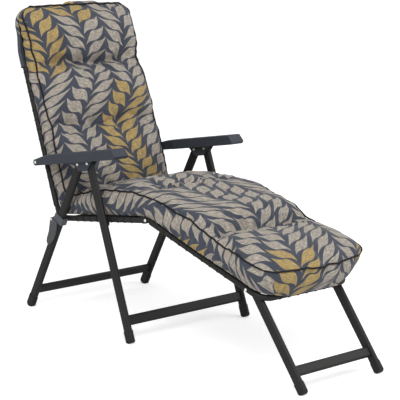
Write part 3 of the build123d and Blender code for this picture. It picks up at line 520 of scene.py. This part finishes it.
lace("back_lacing", side_loops(on_back, back_loop_runs, back_plane, side_reach),
     "back", "back_loops")
lace("seat_lacing", side_loops(on_seat_frame, seat_loop_runs, lambda along: side_plane, side_reach),
     "seat", "seat_loops")
rearward = -(on_footrest_frame(0, 1, 0) - on_footrest_frame(0, 0, 0)).normalized()
front_places = [(on_footrest_frame(x, footrest_length, 0), rearward, Vector((1, 0, 0)), side_reach)
                for x in evenly(-0.132, 0.132, 7)]
lace("footrest_lacing",
     side_loops(on_footrest_frame, footrest_loop_runs, bow_plane, bow_reach) + front_places,
     "footrest", "footrest_loops")
bpy.data.objects.remove(loop_pattern)

# Pad cloth. A woven outdoor cloth printed with fronds of pointed leaves, cream and here and
# there ochre, on a slate ground. The fronds grow side by side in winding columns.
def maths(tree, operation, *values):
    node = tree.nodes.new("ShaderNodeMath")
    node.operation = operation
    for socket, value in zip(node.inputs, values):
        if isinstance(value, (int, float)):
            socket.default_value = value
        else:
            tree.links.new(value, socket)
    return node.outputs[0]


def clipped(tree, value):
    return maths(tree, "MINIMUM", maths(tree, "MAXIMUM", value, 0.0), 1.0)


def blend_colours(tree, factor, first, second):
    node = tree.nodes.new("ShaderNodeMix")
    node.data_type = "RGBA"
    for name, value in (("Factor", factor), ("A", first), ("B", second)):
        socket = [item for item in node.inputs if item.name == name and item.enabled][0]
        if isinstance(value, (int, float)):
            socket.default_value = value
        elif isinstance(value, tuple):
            socket.default_value = (*value, 1)
        else:
            tree.links.new(value, socket)
    return [item for item in node.outputs if item.enabled][0]


column_width = 0.195
leaf_pitch = 0.042
leaf_hook = 0.22
leaf_share = 0.47
bunch_leaves = 8.0
cream_share = 0.74

pad_cloth = new_finish("pad_cloth", (0.1, 0.11, 0.15), 0.85, specular=0.2)
tree = pad_cloth.node_tree
sheet_map = tree.nodes.new("ShaderNodeUVMap")
sheet_map.uv_map = "cloth"
split = tree.nodes.new("ShaderNodeSeparateXYZ")
tree.links.new(sheet_map.outputs["UV"], split.inputs[0])
across, along = split.outputs["X"], split.outputs["Y"]
bend = maths(tree, "SINE", maths(tree, "ADD", maths(tree, "MULTIPLY", along, 8.2), 0.9))
wander = maths(tree, "ADD", maths(tree, "MULTIPLY", along, 19.0),
               maths(tree, "MULTIPLY", across, 7.0))
sway = maths(tree, "ADD", maths(tree, "MULTIPLY", bend, 0.065),
             maths(tree, "MULTIPLY", maths(tree, "SINE", wander), 0.012))
column_run = maths(tree, "DIVIDE", maths(tree, "ADD", across, sway), column_width)
column = maths(tree, "FLOOR", column_run)
side = maths(tree, "SUBTRACT", maths(tree, "FRACT", column_run), 0.5)
draw = tree.nodes.new("ShaderNodeTexWhiteNoise")
draw.noise_dimensions = "1D"
tree.links.new(maths(tree, "ADD", column, 0.37), draw.inputs["W"])
chance = tree.nodes.new("ShaderNodeSeparateColor")
tree.links.new(draw.outputs["Color"], chance.inputs[0])
pointing_up = maths(tree, "GREATER_THAN", chance.outputs[0], 0.35)
upward = maths(tree, "SUBTRACT", maths(tree, "MULTIPLY", pointing_up, 2.0), 1.0)

# Each leaf runs from the stem of its frond to the frond's edge, pointed at both ends.
reach = maths(tree, "MULTIPLY", maths(tree, "ABSOLUTE", side), 2.0)
hook = maths(tree, "MULTIPLY", maths(tree, "SINE", maths(tree, "MULTIPLY", reach, 2 * math.pi)),
             -leaf_hook)
step = maths(tree, "MULTIPLY", maths(tree, "GREATER_THAN", side, 0.0), 0.5)
slant = maths(tree, "ADD", maths(tree, "MULTIPLY", chance.outputs[2], 0.6), 1.6)
rank = maths(tree, "MULTIPLY", maths(tree, "DIVIDE", along, leaf_pitch), upward)
phase = maths(tree, "SUBTRACT", rank, maths(tree, "MULTIPLY", reach, slant))
phase = maths(tree, "ADD", maths(tree, "ADD", phase, hook),
              maths(tree, "ADD", step, maths(tree, "MULTIPLY", chance.outputs[1], 9.0)))
within = maths(tree, "ABSOLUTE", maths(tree, "SUBTRACT", maths(tree, "FRACT", phase), 0.5))
belly = maths(tree, "POWER", maths(tree, "SINE", maths(tree, "MULTIPLY", reach, math.pi)), 1.0)
half_leaf = maths(tree, "MULTIPLY", belly, leaf_share)
leaf = clipped(tree, maths(tree, "MULTIPLY", maths(tree, "SUBTRACT", half_leaf, within), 24.0))
bunch = tree.nodes.new("ShaderNodeCombineXYZ")
tree.links.new(maths(tree, "MULTIPLY", column, 1.7), bunch.inputs[0])
in_bunches = maths(tree, "DIVIDE", maths(tree, "FLOOR", phase), bunch_leaves)
tree.links.new(maths(tree, "FLOOR", in_bunches), bunch.inputs[1])
bunch_draw = tree.nodes.new("ShaderNodeTexWhiteNoise")
bunch_draw.noise_dimensions = "2D"
tree.links.new(bunch.outputs[0], bunch_draw.inputs["Vector"])

hatching = tree.nodes.new("ShaderNodeTexNoise")
hatching.inputs["Scale"].default_value = 60
hatching.inputs["Detail"].default_value = 5
hatch_vector = tree.nodes.new("ShaderNodeCombineXYZ")
tree.links.new(maths(tree, "MULTIPLY", phase, 0.24), hatch_vector.inputs[0])
tree.links.new(maths(tree, "MULTIPLY", side, 0.2), hatch_vector.inputs[1])
tree.links.new(hatch_vector.outputs[0], hatching.inputs["Vector"])
patches = tree.nodes.new("ShaderNodeTexNoise")
patches.inputs["Scale"].default_value = 16
patches.inputs["Detail"].default_value = 2
tree.links.new(sheet_map.outputs["UV"], patches.inputs["Vector"])
hatch = clipped(tree, maths(tree, "MULTIPLY",
                            maths(tree, "SUBTRACT", hatching.outputs["Fac"], 0.42), 4.6))
cream = blend_colours(tree, patches.outputs["Fac"], (0.49, 0.4, 0.325), (0.53, 0.49, 0.395))
cream = blend_colours(tree, hatch, (0.25, 0.23, 0.21), cream)
ochre = blend_colours(tree, hatch, (0.28, 0.21, 0.11), (0.53, 0.37, 0.12))
golden = maths(tree, "GREATER_THAN", bunch_draw.outputs["Value"], cream_share)
leaf_colour = blend_colours(tree, golden, cream, ochre)
slate = blend_colours(tree, patches.outputs["Fac"], (0.046, 0.053, 0.074), (0.066, 0.073, 0.094))
printed = blend_colours(tree, leaf, slate, leaf_colour)
cloth_shader = tree.nodes["Principled BSDF"]
tree.links.new(printed, cloth_shader.inputs["Base Color"])
cloth_shader.inputs["Sheen Weight"].default_value = 0.12
cloth_shader.inputs["Sheen Roughness"].default_value = 0.5
weaves = []
for direction in ("X", "Y"):
    weave = tree.nodes.new("ShaderNodeTexWave")
    weave.bands_direction = direction
    weave.inputs["Scale"].default_value = 260
    weave.inputs["Distortion"].default_value = 1.2
    tree.links.new(sheet_map.outputs["UV"], weave.inputs["Vector"])
    weaves.append(weave.outputs["Fac"])
weave_bump = tree.nodes.new("ShaderNodeBump")
weave_bump.inputs["Strength"].default_value = 0.25
weave_bump.inputs["Distance"].default_value = 0.0006
tree.links.new(maths(tree, "ADD", *weaves), weave_bump.inputs["Height"])
tree.links.new(weave_bump.outputs["Normal"], cloth_shader.inputs["Normal"])

piping_cloth = grain(new_finish("piping_cloth", (0.012, 0.012, 0.014), 0.8, specular=0.2),
                     1500, 0.0003, ((0.008, 0.008, 0.01), (0.017, 0.017, 0.02)), (0.7, 0.9))

# Hood. A shallow pocket of the same cloth, sewn to the head of the pad, that slips over the
# top of the back tube and wraps its rear and sides. Its open lower edge has a plain hem.
hood_start, hood_top = 0.594, 0.8257
hood_front, hood_back = 0.0129, -0.0162
hood_corner = 0.0747
hood_rim = 0.012
hood_hem_radius = 0.0021
hood_columns = 60


def hood_half(along):
    half = back_plane(along) + 0.0147
    beyond = along - (hood_top - hood_corner)
    if beyond <= 0:
        return half
    return half - hood_corner + math.sqrt(max(0.0, hood_corner ** 2 - beyond ** 2))


def hood_height(x, along):
    """Height of the pocket's rear wall, rounded up to the rim at its sides and top."""
    beyond = along - (hood_top - hood_corner)
    inset = hood_half(along) - abs(x)
    if beyond > 0 and abs(x) > hood_half(hood_top):
        inset = hood_corner - math.hypot(abs(x) - hood_half(hood_top), beyond)
    elif beyond > 0:
        inset = min(inset, hood_top - along)
    share = min(max(inset, 0.0) / hood_rim, 1.0)
    ruffle = noise.noise(Vector((x * 9, along * 16, 0.7))) * 0.0016
    return hood_back + hood_rim * (1 - math.sqrt(1 - (1 - share) ** 2)) + ruffle * share


base = bmesh.new()
map_layer = base.loops.layers.uv.new("cloth")
hood_runs = evenly(hood_start, hood_top - hood_rim, 26)
hood_runs += [hood_top - hood_rim * (1 - math.sin(math.radians(15 * number)))
              for number in range(1, 7)]
hood_rows = []
for run in hood_runs:
    row = []
    for number in range(hood_columns + 1):
        share = -1 + number / (hood_columns / 2)
        share = math.sin(share * math.pi / 2) * 0.6 + share * 0.4
        x = hood_half(run) * share
        row.append(base.verts.new(on_back(x, run, hood_height(x, run))))
    hood_rows.append(row)
for lower, upper in zip(hood_rows, hood_rows[1:]):
    for number in range(hood_columns):
        base.faces.new((lower[number], lower[number + 1], upper[number + 1], upper[number]))
rim = [row[0] for row in hood_rows] + hood_rows[-1][1:-1]
rim += [row[-1] for row in reversed(hood_rows)]
walls = [rim]
frontward = Vector((0, -math.cos(back_lean), math.sin(back_lean)))
for level_share in (0.25, 0.5, 0.75, 1.0):
    wall = []
    for vert in rim:
        height = (vert.co - on_back(vert.co.x, 0, 0)).dot(frontward)
        lift_by = (hood_front - height) * level_share
        wall.append(base.verts.new(vert.co + lift_by * frontward))
    walls.append(wall)
for lower, upper in zip(walls, walls[1:]):
    for number in range(len(rim) - 1):
        base.faces.new((lower[number], lower[number + 1], upper[number + 1], upper[number]))
bmesh.ops.recalc_face_normals(base, faces=base.faces)
if sum(face.normal.y * face.calc_area() for face in base.faces) < 0:
    bmesh.ops.reverse_faces(base, faces=base.faces)
for face in base.faces:
    for loop in face.loops:
        spot = loop.vert.co
        loop[map_layer].uv = (spot.x * 1.05 + 0.9, spot.z * 1.08 + (0.03 - spot.y) * 0.3)
hood_area = sum(face.calc_area() for face in base.faces)
mesh = bpy.data.meshes.new("hood_cloth")
base.to_mesh(mesh)
base.free()
hood = bpy.data.objects.new("hood_cloth", mesh)
bpy.context.collection.objects.link(hood)
mesh.materials.append(pad_cloth)
pick(hood)
wall = hood.modifiers.new("Solidify", "SOLIDIFY")
wall.thickness = cloth_wall
wall.offset = -1
bpy.ops.object.modifier_apply(modifier="Solidify")
smooth_faces(mesh)
hem_line = bpy.data.curves.new("hood_hem", "CURVE")
hem_line.dimensions = "3D"
hem_line.bevel_depth = hood_hem_radius
hem_line.bevel_resolution = 2
spline = hem_line.splines.new("POLY")
hem_xs = [hood_half(hood_start) * math.sin(math.radians(6 * number))
          for number in range(-14, 15)]
spline.points.add(len(hem_xs) - 1)
for point, x in zip(spline.points, hem_xs):
    point.co = (*on_back(x, hood_start + 0.001, hood_height(x, hood_start) + 0.0008), 1)
hood_hem = mesh_of(hem_line, piping_cloth)
for piece in (hood, hood_hem):
    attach(piece, "back")
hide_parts("head_hood")


# Back of the pad. Printed cloth over foam and fibre, boxed at the sides, corded with black
# piping and tufted in rows. It lies on the sling and tubes, tied to them, and is creased
# where it meets the seat and where the head roll is sewn across.
seat_steps = 900
seat_step = 0.00125
knee_half = 0.075
lap_fade = 0.2
tuft_radius = 0.024
pull_height, pull_gap, pull_width = 0.0066, 0.042, 0.026
ripple_height = 0.0054
pucker_depth = 0.0028
end_drop = 0.095
mitre_slope = 1 / math.tan(math.radians(51.38))
pad_base = 0.0136
cell = 0.0085
seat_line = []
line_place = [lap[0], lap[1]]
for number in range(seat_steps + 1):
    turned = eased(((seat_length - knee_half, 0), (seat_length + knee_half, 1)),
                   number * seat_step)
    slope = seat_slope + (footrest_slope - seat_slope) * turned
    seat_line.append((line_place[0], line_place[1], slope))
    line_place = [line_place[0] + seat_step * math.cos(slope),
                  line_place[1] + seat_step * math.sin(slope)]


def on_seat(x, along, height):
    """Point over the seat and footrest, which bend into each other over the knee."""
    spot = max(0.0, min(along / seat_step, seat_steps - 1))
    first, share = int(spot), spot - int(spot)
    start, end = seat_line[first], seat_line[first + 1]
    ahead, level, slope = (a + (b - a) * share for a, b in zip(start, end))
    if along < 0:
        ahead, level = ahead + along * math.cos(slope), level + along * math.sin(slope)
    return side_place(x, ahead - height * math.sin(slope), level + height * math.cos(slope))


def make_pad(name, length, half_width, foot_width, piping_height, crown, tufts, rows, place, seed,
             corner, bulge_out, end_bow, end_swell, lap_shift, lap_hollow, end_draw):
    """Closed pad: flat below, boxed sides up to the piping, and a quilted top.

    Its end at the lap is cut to the mitre, moved on by lap_shift, and hollowed at its foot,
    which leaves room for the frame's rails as it folds. Its other end is drawn in below by
    end_draw. Returns the object, the vertex indices of its piping lines, and those of its
    underside and lap end.
    """
    top_count, side_count, base_count = 60, 9, 26
    ring_count = round(length / cell) + 1
    base = bmesh.new()
    map_layer = base.loops.layers.uv.new("cloth")
    rings, unrolled = [], []
    for ring_number in range(ring_count):
        run = length * ring_number / (ring_count - 1)
        beyond = max(0.0, run - (length - corner)) / corner
        drawn = corner * (1 - math.sqrt(max(0.0, 1 - min(beyond, 0.985) ** 2)))
        half = eased(half_width, run) - drawn
        foot = eased(foot_width, run) - drawn
        droop = 0.0021 * min(max(foot - 0.25, 0.0) / 0.015, 1.0)
        edge = eased(piping_height, run)
        rise = eased(crown, run)
        section = []
        for number in range(top_count + 1):
            share = -1 + 2 * number / top_count
            share = share * (1.5 - 0.5 * share * share)
            x = half * share
            dome = (1 - abs(share) ** 2.6) ** 0.8
            height = edge + rise * dome
            held = 1 - abs(share) ** 5
            for row in rows:
                near = (run - row[0] - 0.006 * math.sin(x * 21 + row[0] * 40)) / row[2]
                height -= row[1] * math.exp(-near * near) * held
            for number_of, (tuft_x, tuft_run, depth) in enumerate(tufts):
                gap = math.hypot(x - tuft_x, run - tuft_run)
                bearing = math.atan2(run - tuft_run, x - tuft_x)
                height -= depth * math.exp(-(gap / tuft_radius) ** 2)
                pull = math.cos(7 * bearing + 2.1 * number_of)
                pull = pull + 0.6 * math.cos(11 * bearing + tuft_x * 50)
                fade = math.exp(-((gap - pull_gap) / pull_width) ** 2)
                height += pull_height * pull * fade * held
            ripple = noise.noise(Vector((x * 14 + seed * 5, run * 26, 0.3)))
            ripple += 0.5 * noise.noise(Vector((x * 34, run * 47 + seed * 3, 2.3)))
            height += ripple_height * ripple * held
            section.append((x, height, x))
        pucker = pucker_depth * math.sin(run * 175 + 1.7 * math.sin(run * 31 + seed))
        for number in range(1, side_count + 1):
            share = number / side_count
            swell = (bulge_out + pucker) * math.sin(math.pi * share)
            height = edge + (pad_base - droop * (number == side_count) - edge) * share
            section.append((half + (foot - half) * share + swell, height, half + (edge - height)))
        for number in range(1, base_count):
            share = number / base_count
            section.append((foot - 2 * foot * share, pad_base, half + edge + foot * share * 2))
        for number in range(side_count, 0, -1):
            share = number / side_count
            swell = (bulge_out - pucker) * math.sin(math.pi * share)
            height = edge + (pad_base - droop * (number == side_count) - edge) * share
            section.append((-half + (half - foot) * share - swell, height, -half - (edge - height)))
        ring = []
        for x, height, width_run in section:
            spare = 1 - (x / max(foot, half)) ** 2
            foot_share = min(max((edge - height) / (edge - pad_base), 0.0), 1.0)
            shift = height * mitre_slope + lap_shift + lap_hollow * foot_share ** 2
            shift = shift * (1 - min(run / lap_fade, 1.0)) ** 1.5 + 0.001
            shift -= end_draw * foot_share * max(0.0, (run / length - 0.9) / 0.1)
            shift += end_bow * max(0.0, spare) * max(0.0, (run / length - 0.86) / 0.14)
            ring.append(base.verts.new(place(x, run + shift, height)))
        rings.append(ring)
        unrolled.append([item[2] for item in section])
    size = len(rings[0])
    for ring_number in range(ring_count - 1):
        for number in range(size):
            after = (number + 1) % size
            face = base.faces.new((rings[ring_number][number], rings[ring_number][after],
                                   rings[ring_number + 1][after], rings[ring_number + 1][number]))
            runs = (ring_number, ring_number, ring_number + 1, ring_number + 1)
            for loop, spot, row_number in zip(face.loops, (number, after, after, number), runs):
                width_run = unrolled[row_number][spot]
                if after == 0 and spot == 0:
                    width_run = unrolled[row_number][number] + 0.008
                loop[map_layer].uv = (width_run + seed * 0.37,
                                      length * row_number / (ring_count - 1) + seed * 0.61)
    lap_end = []
    for ring, sign in ((rings[0], -1), (rings[-1], 1)):
        right_side = ring[top_count:top_count + side_count + 1]
        left_side = [ring[0]] + list(reversed(ring[-side_count:]))
        grid = [ring[:top_count + 1]]
        for layer in range(1, side_count + 1):
            share = layer / side_count
            line = [left_side[layer]]
            for number in range(1, top_count):
                upper = ring[number].co
                lower = left_side[-1].co.lerp(right_side[-1].co, number / top_count)
                spot = upper.lerp(lower, share)
                out = Vector()
                if sign > 0:
                    out = (rings[-1][number].co - rings[-2][number].co).normalized()
                bulge = math.sin(math.pi * number / top_count) ** 0.4
                spot += out * end_swell * math.sin(math.pi * share) * bulge
                line.append(base.verts.new(spot))
                if sign < 0:
                    lap_end.append(line[-1])
            line.append(right_side[layer])
            grid.append(line)
        for layer in range(side_count):
            for number in range(top_count):
                corners = (grid[layer][number], grid[layer][number + 1],
                           grid[layer + 1][number + 1], grid[layer + 1][number])
                depths = (layer, layer, layer + 1, layer + 1)
                face = base.faces.new(corners if sign > 0 else corners[::-1])
                for loop, depth in zip(face.loops, depths if sign > 0 else depths[::-1]):
                    drop = depth / side_count * end_drop
                    loop[map_layer].uv = (loop.vert.co.x + seed * 0.37,
                                          (length + drop if sign > 0 else -drop) + seed * 0.61)
    bmesh.ops.recalc_face_normals(base, faces=base.faces)
    base.verts.index_update()
    lines = [[ring[0].index for ring in rings], [ring[top_count].index for ring in rings],
             [vert.index for vert in rings[0][:top_count + 1]],
             [vert.index for vert in rings[-1][:top_count + 1]]]
    under = {vert.index for ring in rings
             for vert in ring[top_count + side_count:top_count + side_count + base_count + 1]}
    under |= {vert.index for vert in lap_end}
    mesh = bpy.data.meshes.new(name)
    base.to_mesh(mesh)
    base.free()
    pad = bpy.data.objects.new(name, mesh)
    bpy.context.collection.objects.link(pad)
    mesh.materials.append(pad_cloth)
    return pad, lines, under


def puff(pad, lines, under, tufts, creases, place, tuft_height, pressure, limit):
    """Inflate a pad as cloth between the places where it is sewn or tied down."""
    pinned = {index: 1.0 for index in under}
    pinned.update({index: 0.7 for index in lines[2]})
    for index in lines[0] + lines[1] + lines[3]:
        pinned[index] = 0.3
    for tuft_x, tuft_run, depth in tufts:
        target = place(tuft_x, tuft_run, tuft_height)
        toward = (place(tuft_x, tuft_run, tuft_height + 0.01) - target).normalized()
        for vert in pad.data.vertices:
            gap = vert.co - target
            away = gap - gap.dot(toward) * toward
            if away.length < 0.0115 and abs(gap.dot(toward)) < 0.034:
                pinned[vert.index] = 1.0
    for crease, half in creases:
        target = place(0, crease, tuft_height)
        toward = (place(0, crease, tuft_height + 0.01) - target).normalized()
        for vert in pad.data.vertices:
            gap = vert.co - target
            gap.x = 0
            if (gap - gap.dot(toward) * toward).length < 0.005 and abs(gap.dot(toward)) < 0.034:
                if abs(vert.co.x) < half:
                    pinned[vert.index] = 1.0
    group = pad.vertex_groups.new(name="sewn")
    for index, weight in pinned.items():
        group.add([index], weight, "REPLACE")
    before = [vert.co.copy() for vert in pad.data.vertices]
    pick(pad)
    cloth = pad.modifiers.new("Cloth", "CLOTH")
    cloth.settings.quality = 4
    cloth.settings.mass = 0.25
    cloth.settings.tension_stiffness = 25
    cloth.settings.compression_stiffness = 25
    cloth.settings.shear_stiffness = 8
    cloth.settings.bending_stiffness = 0.1
    cloth.settings.use_pressure = True
    cloth.settings.uniform_pressure_force = pressure
    cloth.settings.shrink_min = -0.06
    cloth.settings.vertex_group_mass = "sewn"
    cloth.settings.pin_stiffness = 3
    cloth.settings.effector_weights.gravity = 0
    cloth.collision_settings.use_collision = False
    cloth.point_cache.frame_start = 1
    cloth.point_cache.frame_end = 22
    for number in range(1, 21):
        bpy.context.scene.frame_set(number)
    bpy.ops.object.modifier_apply(modifier="Cloth")
    bpy.context.scene.frame_set(1)
    for vert, start in zip(pad.data.vertices, before):
        moved = vert.co - start
        if moved.length > limit:
            vert.co = start + moved * (limit / moved.length)
    pad.vertex_groups.clear()


def sew_piping(name, pad, index_line, radius=0.0034, proud=0.0022):
    """Corded piping in the seam round the top of a pad."""
    curve = bpy.data.curves.new(name, "CURVE")
    curve.dimensions = "3D"
    curve.bevel_depth = radius
    curve.bevel_resolution = 2
    curve.resolution_u = 2
    seam = [pad.data.vertices[index] for index in index_line[::2]]
    spots = [vert.co + vert.normal * proud for vert in seam]
    spline = curve.splines.new("NURBS")
    spline.points.add(len(spots) - 1)
    for point, spot in zip(spline.points, spots):
        point.co = (*spot, 1)
    spline.order_u = 3
    spline.use_endpoint_u = True
    piping = mesh_of(curve, piping_cloth)
    smooth_faces(piping.data)
    return piping


def finish_pad(pad):
    pick(pad)
    smooth = pad.modifiers.new("Smooth", "SMOOTH")
    smooth.factor = 0.3
    smooth.iterations = 1
    bpy.ops.object.modifier_apply(modifier="Smooth")
    rounder = pad.modifiers.new("Subdivision", "SUBSURF")
    rounder.levels = 1
    rounder.render_levels = 1
    bpy.ops.object.modifier_apply(modifier="Subdivision")
    smooth_faces(pad.data)


back_tufts = [(-0.15, 0.585, 0.018), (-0.05, 0.58, 0.026), (0.05, 0.584, 0.026),
              (0.15, 0.588, 0.018), (-0.18, 0.335, 0.018), (-0.06, 0.33, 0.026),
              (0.06, 0.335, 0.026), (0.18, 0.338, 0.018)]
back_pad, back_lines, back_under = make_pad(
    "back_pad", 0.813,
    ((0, 0.25), (0.1, 0.26), (0.27, 0.262), (0.335, 0.255), (0.4, 0.262), (0.53, 0.26),
     (0.59, 0.249), (0.65, 0.26), (0.8, 0.264)),
    ((0, 0.264), (0.25, 0.27), (0.6, 0.27), (0.75, 0.256), (0.813, 0.254)),
    ((0, 0.058), (0.12, 0.06), (0.3, 0.061), (0.48, 0.058), (0.592, 0.046), (0.68, 0.056),
     (0.813, 0.05)),
    ((0, 0.02), (0.16, 0.034), (0.335, 0.024), (0.46, 0.038), (0.588, 0.026), (0.7, 0.036),
     (0.813, 0.008)),
    back_tufts, ((0.586, 0.03, 0.016), (0.335, 0.008, 0.024)), on_back, 1, 0.05, 0.012, 0.0, 0.006,
    -0.009, 0.02, 0.0)
puff(back_pad, back_lines, back_under, back_tufts, ((0.586, 0.2),), on_back, 0.06, 3.4, 0.017)
back_piping = sew_piping("back_piping", back_pad,
                         back_lines[0] + back_lines[3][1:-1] + back_lines[1][::-1])
finish_pad(back_pad)
for piece in (back_pad, back_piping):
    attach(piece, "back")
    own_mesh(piece)
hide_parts("back_cushion")

# Seat and footrest of the pad. The same quilted pad goes on over the seat, the knee and the
# footrest in one piece, with a deep tufted row half way down the footrest, and its rounded
# end overhangs the front bar.
seat_tufts = [(-0.17, 0.215, 0.014), (-0.055, 0.21, 0.02), (0.055, 0.215, 0.02),
              (0.17, 0.215, 0.014), (-0.12, 0.44, 0.012), (0.0, 0.445, 0.016), (0.12, 0.44, 0.012),
              (-0.17, 0.79, 0.022), (-0.055, 0.785, 0.03), (0.055, 0.79, 0.03), (0.17, 0.79, 0.022)]
seat_pad, seat_lines, seat_under = make_pad(
    "seat_pad", seat_length + 0.575,
    ((0, 0.25), (0.35, 0.254), (0.6, 0.254), (0.72, 0.252), (0.787, 0.243), (0.86, 0.252),
     (1.085, 0.262)),
    ((0, 0.262), (0.45, 0.264), (0.6, 0.264), (1.085, 0.226)),
    ((0, 0.084), (0.1, 0.09), (0.2, 0.098), (0.3, 0.103), (0.4, 0.098), (0.5, 0.083), (0.6, 0.088),
     (0.7, 0.1), (0.787, 0.092), (0.88, 0.098), (0.97, 0.11), (1.03, 0.116), (1.085, 0.112)),
    ((0, 0.012), (0.12, 0.022), (0.215, 0.014), (0.32, 0.016), (0.44, 0.01), (0.54, 0.008),
     (0.64, 0.014), (0.72, 0.016), (0.787, 0.01), (0.93, 0.028), (1.085, 0.008)),
    seat_tufts, ((0.215, 0.006, 0.026), (0.787, 0.024, 0.026)), on_seat, 2, 0.072, 0.011, 0.03,
    0.014, 0.009, 0.006, 0.013)
puff(seat_pad, seat_lines, seat_under, seat_tufts, ((0.787, 0.19),), on_seat, 0.085, 3.4, 0.017)
seat_piping = sew_piping("seat_piping", seat_pad,
                         seat_lines[0] + seat_lines[3][1:-1] + seat_lines[1][::-1])
finish_pad(seat_pad)
for piece in (seat_pad, seat_piping):
    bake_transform(piece)
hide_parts("seat_cushion", "footrest_cushion")
